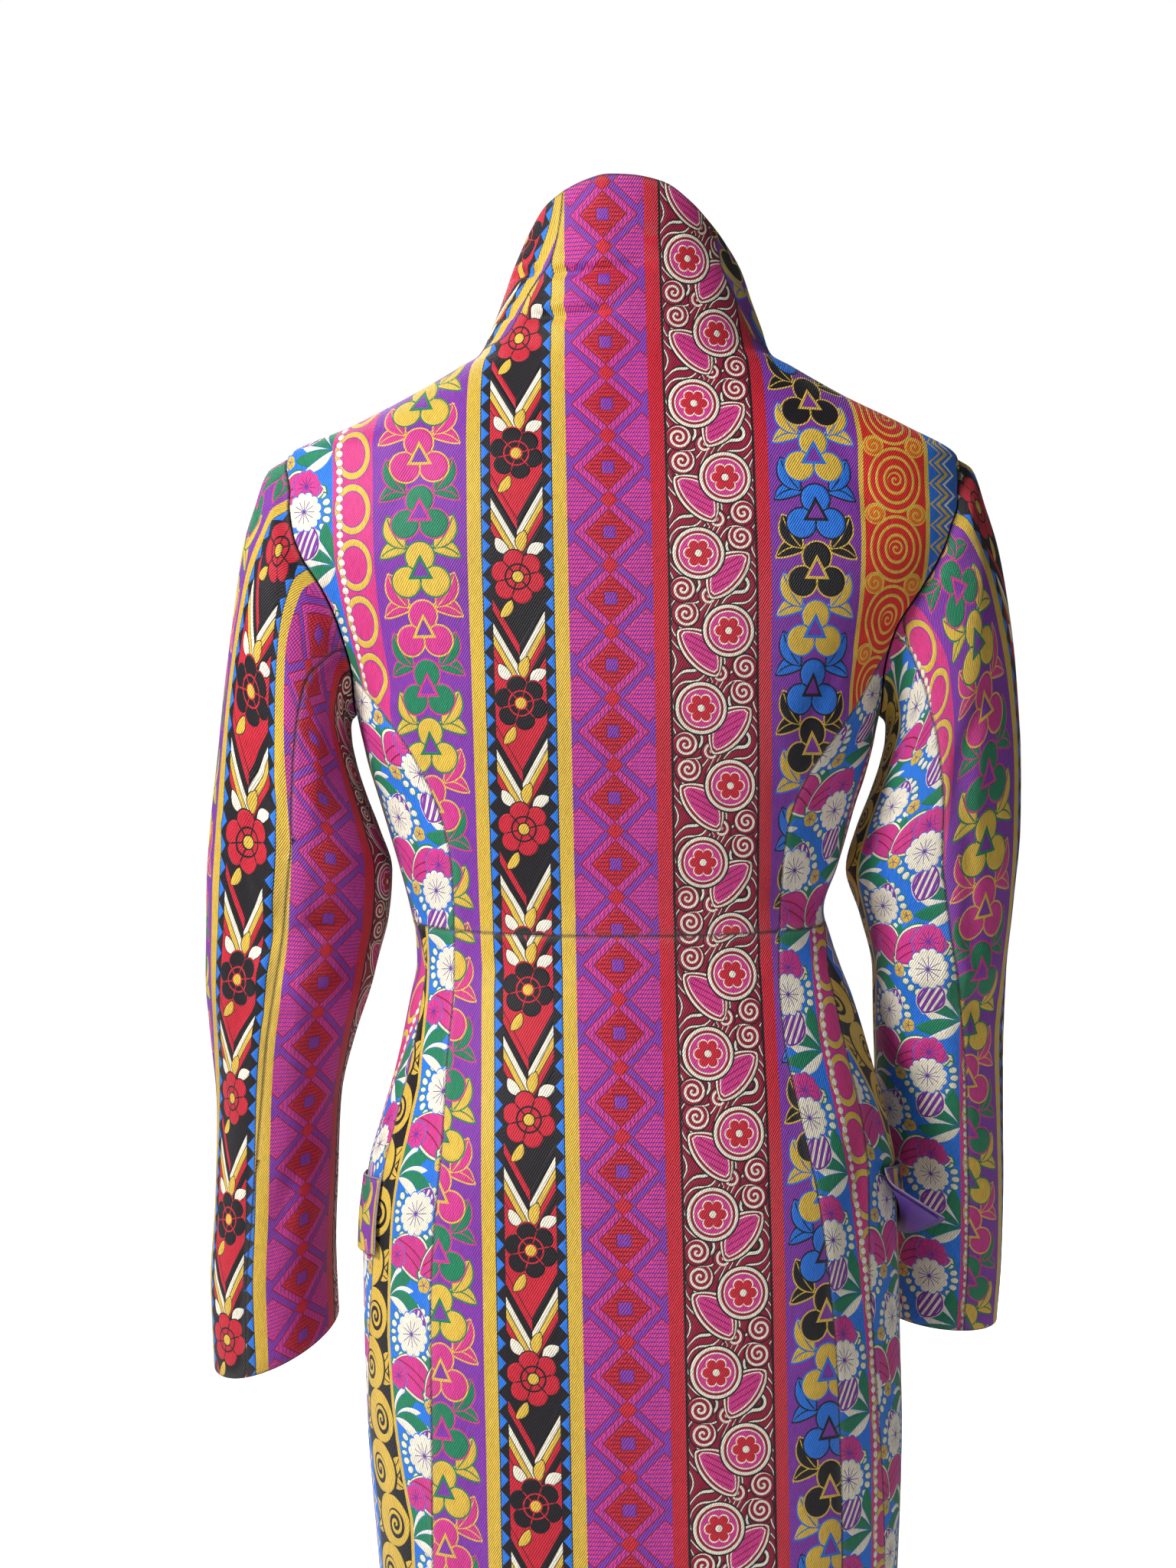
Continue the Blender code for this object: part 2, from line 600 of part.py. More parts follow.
def make_back_bodice(material):
    """The back between the princess seams, with the collar's back grown on."""
    edges = {}
    for side in ("left", "right"):
        seam = princess_bodice(side)[::-1]
        phis = np.arange(PRINCESS_JOINS_ARMHOLE[side], 90 + 1, ARMHOLE_STEP)
        edges[side] = np.concatenate([seam, armhole(phis, side)[1:]])
    left, right = edges["left"], edges["right"]
    top = back_top_line()
    s = column_shares(top, BACK_MIDDLE)
    bottom = waist_line(left[0, 0], right[0, 0], s)
    body = coons(bottom, top, left, right, s, shares(left, right), BACK_MIDDLE)
    neck = back_neck_line()
    left, right = collar_seam("left"), collar_seam("right")
    edge = np.stack([back_theta(COLLAR_TOP["x"], COLLAR_TOP["z"]), COLLAR_TOP["z"]], axis=-1)
    edge[0] = left[-1]
    edge[-1] = right[-1]
    edge = even_on_body(edge, COLLAR_COLUMNS)
    s = column_shares(neck, BACK_MIDDLE)
    collar = coons(neck, edge, left, right, s, shares(left, right), BACK_MIDDLE)
    return torso_panel("back_bodice", [body, collar], material)


def shoulder_seam(side):
    """(theta, z) from the shoulder tip to the neck point."""
    z = np.linspace(SHOULDER_TIP_Z, NECK_POINT_Z, SHOULDER_COLUMNS + 1)
    return np.stack([np.full_like(z, SIGN[side] * 90.0), z], axis=-1)


def collar_seam(side):
    """(theta, z) up the collar seam from the neck point."""
    table = COLLAR_SEAM[side]
    theta = back_theta(SIGN[side] * table["x"], table["z"])
    theta[0] = SIGN[side] * 90.0
    line = np.stack([theta, table["z"]], axis=-1)
    return even_on_body(line, COLLAR_ROWS)


def side_phis(side):
    """Armhole angles from the side seam to the princess seam."""
    return np.arange(-90, PRINCESS_JOINS_ARMHOLE[side] + 1, ARMHOLE_STEP)


def make_side_back_bodice(side, material):
    """The bodice between the princess seam and the side seam."""
    right = princess_bodice(side)[::-1]
    left = side_seam_bodice(side)[::-1]
    top = armhole(side_phis(side), side)
    s = np.linspace(0.0, 1.0, len(top))
    bottom = waist_line(left[0, 0], right[0, 0], s)
    grid = coons(bottom, top, left, right, s, shares(left, right), BACK_MIDDLE)
    return torso_panel(f"side_back_bodice_{side}", [grid], material)


def front_lift(side, theta, z):
    """How far a front stands off the body: the right one lies over the left."""
    if side == "left":
        return np.zeros_like(theta)
    x = torso(theta, z)[..., 0]
    front = np.cos(np.radians(theta)) < 0
    full = FRONT_OVERLAP + OVERLAP_MARGIN
    ramp = np.clip((x + full + OVERLAP_RAMP) / OVERLAP_RAMP, 0.0, 1.0)
    return np.where(front, OVERLAP_LIFT * ramp * ramp * (3 - 2 * ramp), 0.0)


def neck_edge(side, low, high, count):
    """(theta, z) along the neck edge between two heights, evenly spaced."""
    table = NECK_EDGE[side]
    theta = table["theta"].copy()
    theta[0] = abs(front_edge_theta(side, table["z"][0]))
    theta[-1] = abs(collar_seam(side)[-1, 0])
    z = np.linspace(low, high, 6 * count)
    line = np.stack([SIGN[side] * smooth(z, table["z"], theta), z], axis=-1)
    return even_on_body(line, count)


def front_neck_line(side):
    """(theta, z) across the front's grid from the neck point to the neck edge."""
    end = neck_edge(side, NECK_POINT_Z, COLLAR_CORNER_Z[side], COLLAR_ROWS)[0]
    share = np.linspace(0.0, 1.0, NECK_COLUMNS + 1)
    theta = SIGN[side] * 90.0 + (end[0] - SIGN[side] * 90.0) * share
    return np.stack([theta, np.full_like(theta, NECK_POINT_Z)], axis=-1)


def front_top_line(side):
    """(theta, z) up the shoulder seam and across to the neck edge."""
    return np.concatenate([shoulder_seam(side), front_neck_line(side)[1:]])


def front_column_shares(side):
    """Where a front's columns stand, in the bodice and in the skirt below it."""
    return column_shares(front_top_line(side), SIGN[side] * FRONT_MIDDLE)


def make_front_bodice(side, material):
    """A front with its grown-on collar, from side seam and armhole to the free edge."""
    middle = SIGN[side] * FRONT_MIDDLE
    upward = armhole(np.arange(-90, -270 - 1, -ARMHOLE_STEP), side)
    left = np.concatenate([side_seam_bodice(side)[::-1], upward[1:]])
    neck = front_neck_line(side)
    top = front_top_line(side)
    corner_z = NECK_EDGE[side]["z"][0]
    closure_z = np.append(left[left[:, 1] < corner_z, 1], corner_z)
    closure_z[0] = waist_z(FRONT_MIDDLE)
    closure = np.stack([front_edge_theta(side, closure_z), closure_z], axis=-1)
    opening = neck_edge(side, corner_z, NECK_POINT_Z, len(left) - len(closure))
    right = np.concatenate([closure, opening[1:]])
    s = front_column_shares(side)
    bottom = waist_line(left[0, 0], right[0, 0], s)
    body = coons(bottom, top, left, right, s, shares(left, right), middle)
    seam = collar_seam(side)
    edge = neck_edge(side, NECK_POINT_Z, COLLAR_CORNER_Z[side], COLLAR_ROWS)
    over = neck_edge(side, COLLAR_CORNER_Z[side], NECK_EDGE[side]["z"][-1], NECK_COLUMNS)[::-1]
    collar = coons(neck, over, seam, edge, column_shares(neck, middle), shares(seam, edge), middle)
    return torso_panel(f"front_bodice_{side}", [body, collar], material, side)


def skirt_seam(theta_at):
    """(theta, z) down a skirt seam from waist to hem."""
    _, top = waist_corner(theta_at)
    share = np.linspace(0.0, 1.0, SKIRT_ROWS + 1) ** SKIRT_ROW_GROWTH
    z = top + (HEM_Z - top) * share
    return np.stack([theta_at(z), z], axis=-1)


def skirt_panel(name, first, last, share, material, side=None):
    """A skirt panel between two seams, each a list of (theta, z) from waist to hem."""
    across = share[None, :, None]
    grid = first[:, None] * (1 - across) + last[:, None] * across
    theta = grid[..., 0]
    fall = (grid[..., 1] - HEM_Z) / (grid[:1, :, 1] - HEM_Z)
    z = HEM_Z + (waist_z(theta) - HEM_Z) * fall
    return torso_panel(name, [np.stack([theta, z], axis=-1)], material, side)


def make_skirt(materials):
    """The five skirt panels below the waist seam."""
    princess = {}
    outseam = {}
    edge = {}
    for side in ("left", "right"):
        sign = SIGN[side]
        princess[side] = skirt_seam(lambda z, side=side: princess_theta(side, z))
        outseam[side] = skirt_seam(
            lambda z, side=side, sign=sign: sign * smooth(z, SKIRT_SIDE["z"], SKIRT_SIDE[side]))
        edge[side] = skirt_seam(lambda z, side=side: front_edge_theta(side, z))
    skirt_panel("back_skirt", princess["left"], princess["right"],
                column_shares(back_top_line(), BACK_MIDDLE), materials["jacquard_back"])
    for side in ("left", "right"):
        across = np.linspace(0.0, 1.0, len(side_phis(side)))
        skirt_panel(f"side_skirt_{side}", outseam[side], princess[side], across,
                    materials["jacquard_side"])
        skirt_panel(f"front_skirt_{side}", outseam[side], edge[side], front_column_shares(side),
                    materials["jacquard_front"], side)


def sleeve_row(side, name, t):
    """One column of a sleeve's section table, read at positions t."""
    return smooth(t, SLEEVE[side]["t"], SLEEVE[side][name])


def sleeve_fold(side, phi, t):
    """Height of the broad folds of a sleeve."""
    height = np.zeros(np.broadcast(phi, t).shape)
    for fold in SLEEVE_FOLDS[side]:
        along = (t - fold["t"]) / fold["run"]
        turn = phi - fold["phi"] - fold["drift"] * (t - fold["t"])
        turn = (turn + 180.0) % 360.0 - 180.0
        height += fold["height"] * np.exp(-along ** 2 - (turn / fold["spread"]) ** 2)
    return height


def sleeve(side, phi, t):
    """Points of a sleeve surface at angles phi and positions t, armhole 0 to cuff 1."""
    phi, t = np.broadcast_arrays(np.asarray(phi, float), np.asarray(t, float))
    sine = np.sin(np.radians(phi))
    cosine = np.cos(np.radians(phi))
    row = {name: sleeve_row(side, name, t) for name in SLEEVE_COLUMNS[1:]}
    mid_x = (row["out_x"] + row["in_x"]) / 2
    mid_z = (row["out_z"] + row["in_z"]) / 2
    half_x = (row["out_x"] - row["in_x"]) / 2
    half_z = (row["out_z"] - row["in_z"]) / 2
    fold = sleeve_fold(side, phi, t)
    x = mid_x + (half_x + fold) * sine
    y = row["y"] + (row["depth"] + fold) * cosine
    z = mid_z + half_z * sine - row["dip"] * cosine
    points = np.stack([SIGN[side] * x, y, z], axis=-1)
    ring = armhole(phi, side)
    hole = torso(ring[..., 0], ring[..., 1])
    start = sleeve_start(side, phi)
    share = np.clip(1 - t / ARMHOLE_BLEND_END, 0.0, 1.0)
    share = share * share * (3 - 2 * share)
    clear = np.array([SIGN[side] * 0.0005, 0.0, 0.0])
    return points + (hole - start + clear) * share[..., None]


def sleeve_start(side, phi):
    """The plain ellipse at the head of the sleeve, which the armhole's shape replaces."""
    first = SLEEVE[side][0]
    sine = np.sin(np.radians(phi))
    cosine = np.cos(np.radians(phi))
    fold = sleeve_fold(side, phi, np.zeros_like(phi))
    x = (first["out_x"] + first["in_x"]) / 2 + ((first["out_x"] - first["in_x"]) / 2 + fold) * sine
    y = first["y"] + (first["depth"] + fold) * cosine
    z = (first["out_z"] + first["in_z"]) / 2 + (first["out_z"] - first["in_z"]) / 2 * sine
    return np.stack([SIGN[side] * x, y, z], axis=-1)


def sleeve_normal(side, phi, t):
    """Outward unit normals of a sleeve surface, by small steps each way."""
    turn = 1.5
    step = 0.006
    du = sleeve(side, phi + turn, t) - sleeve(side, phi - turn, t)
    dt = sleeve(side, phi, np.minimum(t + step, 1.0)) - sleeve(side, phi, np.maximum(t - step, 0.0))
    normal = np.cross(du, dt) * SIGN[side]
    return normal / np.linalg.norm(normal, axis=-1, keepdims=True)


def make_sleeve(side, material):
    """Top sleeve and undersleeve, split along the back and front sleeve seams."""
    t = SLEEVE_ROWS
    back = smooth(t, SLEEVE_SEAMS["t"], SLEEVE_SEAMS[side])
    front = smooth(t, SLEEVE_SEAMS["t"], SLEEVE_SEAMS["front"])
    spans = {
        "top_sleeve": (back, front + 360.0),
        "under_sleeve": (front, back),
    }
    for name, (start, end) in spans.items():
        steps = int(round((end[0] - start[0]) / ARMHOLE_STEP))
        share = np.linspace(0.0, 1.0, steps + 1)
        phi = start[:, None] + (end - start)[:, None] * share[None, :]
        rows = np.broadcast_to(t[:, None], phi.shape)
        points = sleeve(side, phi, rows)
        normals = sleeve_normal(side, phi, rows)
        wall_mesh(f"{name}_{side}", [(points, normals)], WALL, material)


def grid_normals(points, towards):
    """Unit normals of a grid of points, on the side that towards names."""
    along = np.gradient(points, axis=1)
    down = np.gradient(points, axis=0)
    normal = np.cross(along, down)
    normal /= np.linalg.norm(normal, axis=-1, keepdims=True)
    return normal * np.sign(np.sum(normal * towards, axis=-1, keepdims=True))


def fold_corner(along, down, width):
    """Flat flap points with the back corner folded out: new places and heights."""
    line = np.array([CORNER_FOLD_END * width, FLAP_DEPTH])
    line /= np.linalg.norm(line)
    across = np.array([-line[1], line[0]])
    reach = np.maximum(along * across[0] + down * across[1], 0.0)
    turn = math.radians(CORNER_FOLD_DEGREES)
    bent = np.minimum(reach / CORNER_FOLD_RADIUS, turn)
    straight = reach - bent * CORNER_FOLD_RADIUS
    level = CORNER_FOLD_RADIUS * np.sin(bent) + straight * math.cos(turn)
    height = CORNER_FOLD_RADIUS * (1 - np.cos(bent)) + straight * math.sin(turn)
    moved = level - reach
    return along + across[0] * moved, down + across[1] * moved, height


def flap_surface(side, stand):
    """Outer points and normals of a flap, made from the hip's points moved out."""
    span = FLAP_FRONT_THETA - FLAP_BACK_THETA
    hinge_theta = FLAP_BACK_THETA + span * FLAP_ACROSS
    width = run_along(torso(SIGN[side] * hinge_theta, FLAP_Z[side]))[-1]
    along, down = np.meshgrid(FLAP_ACROSS * width, FLAP_DOWN * FLAP_DEPTH)
    height = FLAP_STAND_OFF * down / FLAP_DEPTH
    if side == "right":
        along, down, folded = fold_corner(along, down, width)
        height = height + folded
    theta = SIGN[side] * (FLAP_BACK_THETA + span * along / width)
    z = FLAP_Z[side] - FLAP_SLOPE * along / width - down
    out = torso_normal(theta, z)
    points = torso(theta, z) + out * (stand + height)[..., None]
    normals = grid_normals(points, out)
    return points, normals


def make_flaps(materials):
    """Both hip flaps, and the lining that shows under the lifted one."""
    stands = {
        "left": FLAP_STAND + FLAP_WALL,
        "right": FLAP_STAND + LINING_WALL + LINING_GAP + FLAP_WALL,
    }
    for side, stand in stands.items():
        surface = flap_surface(side, stand)
        wall_mesh(f"flap_{side}", [surface], FLAP_WALL, materials["jacquard_front"])
    points, normals = flap_surface("right", stands["right"])
    inner = points - normals * (FLAP_WALL + LINING_GAP)
    inset = (slice(0, -1), slice(1, -1))
    wall_mesh("flap_lining_right", [(inner[inset], normals[inset])], LINING_WALL,
              materials["flap_lining"])


def button_profile():
    """(radius, height) of a domed shank button, from the shank's foot to the dome's top."""
    rim = BUTTON_RADIUS
    top = SHANK_HEIGHT + BUTTON_HEIGHT
    return (
        (SHANK_RADIUS, 0.0),
        (SHANK_RADIUS, SHANK_HEIGHT),
        (rim * 0.86, SHANK_HEIGHT + BUTTON_HEIGHT * 0.12),
        (rim, SHANK_HEIGHT + BUTTON_HEIGHT * 0.42),
        (rim * 0.90, SHANK_HEIGHT + BUTTON_HEIGHT * 0.78),
        (rim * 0.55, top),
    )


def make_button(number, z, material, sides=14):
    """One shank button standing on the right front at the centre line."""
    theta = np.array(-180.0)
    normal = torso_normal(theta, np.array(z))
    lift = float(front_lift("right", theta, np.array(z)))
    foot = torso(theta, z) + normal * (lift + SEAM_GAP + 0.0002)
    side_way = np.cross((0.0, 0.0, 1.0), normal)
    side_way /= np.linalg.norm(side_way)
    up_way = np.cross(normal, side_way)
    points = []
    for radius, height in button_profile():
        for k in range(sides):
            turn = 2 * math.pi * k / sides
            out = side_way * math.cos(turn) + up_way * math.sin(turn)
            points.append(foot + out * radius + normal * height)
    faces = [tuple(range(sides)), tuple(range(len(points) - sides, len(points)))[::-1]]
    for ring in range(len(button_profile()) - 1):
        for k in range(sides):
            a = ring * sides + k
            b = ring * sides + (k + 1) % sides
            faces.append((b, a, a + sides, b + sides))
    return mesh_object(f"button_{number}", points, faces, material)


def make_material(name, colour):
    """A plain Principled material in the part's colour."""
    material = bpy.data.materials.new(name)
    material.use_nodes = True
    shader = material.node_tree.nodes["Principled BSDF"]
    shader.inputs["Base Color"].default_value = (*colour, 1.0)
    shader.inputs["Roughness"].default_value = 0.35 if name == "button" else 0.6
    shader.inputs["Metallic"].default_value = 0.0
    return material


def main():
    """Clears the scene and builds every piece of the blazer."""
    for old in list(bpy.data.objects):
        bpy.data.objects.remove(old, do_unlink=True)
    materials = {name: make_material(name, colour) for name, colour in COLOURS.items()}
    make_back_bodice(materials["jacquard_back"])
    for side in ("left", "right"):
        make_side_back_bodice(side, materials["jacquard_side"])
        make_front_bodice(side, materials["jacquard_front"])
    make_skirt(materials)
    for side in ("left", "right"):
        make_sleeve(side, materials["jacquard_sleeve"])
    make_flaps(materials)
    for number, z in enumerate(BUTTON_Z, start=1):
        make_button(number, z, materials["button"])


main()
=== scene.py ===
"""Looks of a fitted long blazer in striped jacquard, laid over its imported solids.

Each panel is a thin shell of cloth made from the same body and sleeve surfaces as the
solids. The cloth is one striped jacquard: every panel is cut from it at its own place, so
its faces are split where one woven band ends and the next begins, and each band has a
material of its own.
"""
import math
from functools import partial, partialmethod

import bmesh
import bpy
import numpy as np
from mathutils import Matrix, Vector


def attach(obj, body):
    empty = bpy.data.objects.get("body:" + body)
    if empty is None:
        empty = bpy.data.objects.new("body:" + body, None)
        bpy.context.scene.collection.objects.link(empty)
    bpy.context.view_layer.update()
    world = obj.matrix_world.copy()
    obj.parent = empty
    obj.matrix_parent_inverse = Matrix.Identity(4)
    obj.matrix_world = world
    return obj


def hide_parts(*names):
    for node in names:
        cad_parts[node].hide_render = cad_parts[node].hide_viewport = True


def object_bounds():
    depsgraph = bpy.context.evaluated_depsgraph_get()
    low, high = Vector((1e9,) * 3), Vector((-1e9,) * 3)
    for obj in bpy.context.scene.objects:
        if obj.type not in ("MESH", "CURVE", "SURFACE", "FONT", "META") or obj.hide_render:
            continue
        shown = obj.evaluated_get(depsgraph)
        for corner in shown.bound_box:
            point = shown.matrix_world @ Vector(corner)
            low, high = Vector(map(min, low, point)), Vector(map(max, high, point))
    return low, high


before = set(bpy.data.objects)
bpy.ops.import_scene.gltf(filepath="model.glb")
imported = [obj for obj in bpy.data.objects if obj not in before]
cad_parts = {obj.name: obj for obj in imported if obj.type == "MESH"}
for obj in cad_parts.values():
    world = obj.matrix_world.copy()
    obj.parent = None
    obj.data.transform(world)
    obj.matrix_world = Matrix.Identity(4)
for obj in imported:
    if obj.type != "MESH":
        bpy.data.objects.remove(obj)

bl_info = {
    "name": "Striped jacquard blazer",
    "version": (1, 0, 0),
    "blender": (4, 5, 0),
    "location": "3D View > Sidebar > Blazer",
    "description": "Builds the cloth, trims and stage of a long blazer around its solids",
    "category": "Object",
}

SOLIDS_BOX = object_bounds()

# Grid cells of the dressed cloth along each cell of the solid's own grid
FINE = 5


def finer(values):
    """The same run of values with FINE steps in the place of each one."""
    at = np.linspace(0, len(values) - 1, (len(values) - 1) * FINE + 1)
    return np.interp(at, np.arange(len(values)), values)


def table(columns, rows):
    """A table of numbers whose columns have names."""
    return np.array(rows, dtype=[(name, float) for name in columns.split()])


def millimetres(columns, rows):
    """A table of lengths that are written in millimetres."""
    return table(columns, [tuple(value / 1000 for value in row) for row in rows])


# Rounded edge of a panel, from its outer face down: how far it stands in from the seam and
# how deep it lies, which is at most a share of the cloth's wall; the inside stands in too
SEAM_PULL = (0.0005, 0.0002, -0.0002, -0.0006)
SEAM_DROP = (0.0, 0.0002, 0.0006, 0.0013)
SEAM_DEPTH_SHARE = 0.7
INSIDE_PULL_SHARE = 0.5

# Cloth, seams and closure, in metres
WALL = 0.002
SEAM_GAP = 0.0003
FRONT_OVERLAP = 0.02
OVERLAP_LIFT = 0.0034
OVERLAP_RAMP = 0.035
OVERLAP_MARGIN = 0.006

# Levels of the garment
HEM_Z = -0.86
WAIST_BACK_Z = -0.3594
WAIST_FRONT_RISE = 0.013
NECK_POINT_Z = 0.0
BACK_NECK_DIP = 0.012
SHOULDER_TIP_Z = -0.0645
UNDERARM_Z = -0.2252
SIDE_SEAM_AT_WAIST = 78.0

# Armholes: how far their edges reach back and forward from the side line, in degrees
ARMHOLE_SWEEP = {"back": 28.0, "front": 31.0}
ARMHOLE_ROUNDNESS = 0.7
ARMHOLE_STEP = 15 // FINE

# Pocket flaps, hung on a line round the hip and standing a little off it at the bottom
FLAP_Z = {"left": -0.508, "right": -0.5015}
FLAP_SLOPE = 0.006
FLAP_DEPTH = 0.045
FLAP_BACK_THETA = 65.0
FLAP_FRONT_THETA = 118.0
FLAP_STAND_OFF = 0.0012
FLAP_WALL = 0.0016
LINING_WALL = 0.001
LINING_GAP = 0.0005
FLAP_STAND = 0.0006

# The right flap's back corner is folded out along a slanted line, from the flap's top
# corner to this share of its bottom edge
CORNER_FOLD_END = 0.58
CORNER_FOLD_DEGREES = 68.0
CORNER_FOLD_RADIUS = 0.009

# Shank buttons down the centre front
BUTTON_Z = (-0.185, -0.255, -0.322, -0.398)
BUTTON_RADIUS = 0.0105
BUTTON_HEIGHT = 0.0042
SHANK_RADIUS = 0.003
SHANK_HEIGHT = 0.0022
BUTTON_CLEARANCE = 0.0002
BUTTON_SIDES = 48

# Shape of a button, as shares of its radius and height: the rolled lip round its rim, the
# dome inside the lip, the narrow middle of the shank, and the flat under the rim
LIP_MIDDLE = 0.87
LIP_LEVEL = 0.4
LIP_RADIUS = 0.00125
LIP_BEND = np.linspace(-62.0, 58.0, 11)
DISH = np.linspace(0.82, 0.0, 12)
DISH_LEVEL = 0.52
DOME_RISE = 0.44
DOME_CURVE = 1.9
DOME_FALL = 0.35
SHANK_WAIST = 0.8
SHANK_TOP = 0.95
UNDER_RADIUS = 0.55
UNDER_LEVEL = 0.04

# Rings of the body: half-widths left and right of the middle, depths behind and before
# the side line, and how square the ring is (2 is an ellipse)
TORSO = table("z left right back front square", [
    (0.115, 0.062, 0.0625, 0.0535, 0.056, 2.0),
    (0.09, 0.063, 0.0635, 0.052, 0.057, 2.0),
    (0.071, 0.0655, 0.0665, 0.052, 0.058, 2.0),
    (0.053, 0.07, 0.0735, 0.0525, 0.059, 2.0),
    (0.035, 0.0758, 0.08, 0.054, 0.06, 2.0),
    (0.018, 0.0825, 0.086, 0.056, 0.061, 2.02),
    (0.0, 0.091, 0.0925, 0.059, 0.062, 2.05),
    (-0.008, 0.1035, 0.106, 0.0615, 0.063, 2.08),
    (-0.026, 0.134, 0.1385, 0.068, 0.065, 2.12),
    (-0.045, 0.1705, 0.1765, 0.075, 0.068, 2.18),
    (-0.0645, 0.2105, 0.2085, 0.0815, 0.073, 2.22),
    (-0.085, 0.213, 0.212, 0.087, 0.08, 2.22),
    (-0.1, 0.2185, 0.216, 0.0905, 0.086, 2.22),
    (-0.118, 0.2215, 0.216, 0.0938, 0.094, 2.22),
    (-0.13, 0.219, 0.213, 0.0955, 0.099, 2.22),
    (-0.148, 0.2073, 0.2025, 0.0972, 0.106, 2.22),
    (-0.175, 0.1893, 0.1795, 0.0982, 0.114, 2.22),
    (-0.203, 0.1732, 0.1645, 0.0978, 0.119, 2.22),
    (-0.229, 0.1661, 0.1585, 0.0958, 0.12, 2.22),
    (-0.254, 0.1603, 0.153, 0.0922, 0.117, 2.22),
    (-0.287, 0.15, 0.1426, 0.0862, 0.109, 2.2),
    (-0.32, 0.1406, 0.1332, 0.0805, 0.101, 2.2),
    (-0.346, 0.1338, 0.1248, 0.0778, 0.097, 2.2),
    (-0.362, 0.1303, 0.1288, 0.0776, 0.096, 2.2),
    (-0.379, 0.1295, 0.1344, 0.0805, 0.097, 2.2),
    (-0.4, 0.1335, 0.1426, 0.0875, 0.1, 2.22),
    (-0.44, 0.1418, 0.1546, 0.1015, 0.106, 2.26),
    (-0.477, 0.1523, 0.1645, 0.112, 0.11, 2.3),
    (-0.504, 0.1597, 0.1694, 0.1172, 0.112, 2.3),
    (-0.543, 0.1631, 0.1705, 0.1215, 0.114, 2.3),
    (-0.606, 0.1622, 0.1723, 0.1225, 0.115, 2.3),
    (-0.665, 0.1603, 0.1735, 0.1205, 0.116, 2.3),
    (-0.76, 0.1525, 0.1704, 0.1185, 0.117, 2.28),
    (-0.86, 0.148, 0.1675, 0.1175, 0.118, 2.28),
])

# Princess seams from the armhole down to the hem, as distances from the middle
PRINCESS = {
    "left": table("z x", [
        (-0.2243, 0.148), (-0.2388, 0.1368), (-0.2541, 0.127), (-0.27, 0.1187),
        (-0.2953, 0.1095), (-0.322, 0.105), (-0.3594, 0.104), (-0.392, 0.104),
        (-0.429, 0.107), (-0.484, 0.1096), (-0.532, 0.114), (-0.578, 0.116),
        (-0.63, 0.1155), (-0.74, 0.115), (-0.86, 0.114),
    ]),
    "right": table("z x", [
        (-0.2, 0.1525), (-0.217, 0.143), (-0.236, 0.1295), (-0.2513, 0.118),
        (-0.2657, 0.1087), (-0.2833, 0.101), (-0.3014, 0.097), (-0.3324, 0.0945),
        (-0.3594, 0.0935), (-0.384, 0.0928), (-0.42, 0.095), (-0.456, 0.102),
        (-0.518, 0.115), (-0.564, 0.121), (-0.624, 0.126), (-0.74, 0.129),
        (-0.86, 0.129),
    ]),
}
PRINCESS_JOINS_ARMHOLE = {"left": -45, "right": -30}

# Side seams of the skirt, as angles; they sit behind the true side
SKIRT_SIDE = table("z left right", [
    (-0.3546, 78.0, 78.0),
    (-0.384, 69.5, 65.5),
    (-0.415, 67.5, 61.5),
    (-0.457, 66.5, 60.0),
    (-0.5, 65.5, 58.0),
    (-0.555, 69.0, 57.0),
    (-0.63, 76.0, 59.0),
    (-0.746, 84.0, 66.0),
    (-0.86, 86.0, 72.0),
])

# Collar seam, running up from the neck point to the collar's top edge
COLLAR_SEAM = {
    "left": table("z x", [
        (0.0, 0.091), (0.007, 0.0745), (0.017, 0.067), (0.033, 0.0593), (0.054, 0.045),
        (0.076, 0.04), (0.095, 0.038),
    ]),
    "right": table("z x", [
        (0.0, 0.0925), (0.007, 0.0805), (0.016, 0.075), (0.033, 0.0675), (0.05, 0.06),
        (0.066, 0.056), (0.0775, 0.0535),
    ]),
}

# Top edge of the collar's back, from the left seam to the right seam
COLLAR_TOP = table("x z", [
    (0.038, 0.095), (0.025, 0.1), (0.011, 0.103), (-0.003, 0.1025),
    (-0.0235, 0.099), (-0.04, 0.0895), (-0.0535, 0.0775),
])

# Height on the neck edge where the front collar's grid turns its corner
COLLAR_CORNER_Z = {"left": 0.07, "right": 0.062}

# Free edge of each front, from the overlap up the neck to the top of the collar seam
NECK_EDGE = {
    "left": table("theta z", [
        (180.0, -0.148), (178.0, -0.136), (174.5, -0.108), (169.5, -0.076),
        (160.5, -0.042), (141.0, -0.012), (118.0, 0.01), (101.0, 0.028),
        (88.0, 0.044), (76.5, 0.058), (64.5, 0.0735), (52.0, 0.0868), (37.1, 0.095),
    ]),
    "right": table("theta z", [
        (180.0, -0.148), (178.0, -0.136), (174.5, -0.108), (169.5, -0.076),
        (160.5, -0.042), (141.0, -0.012), (118.5, 0.01), (103.0, 0.027),
        (90.5, 0.042), (78.5, 0.056), (67.0, 0.0685), (54.9, 0.0775),
    ]),
}

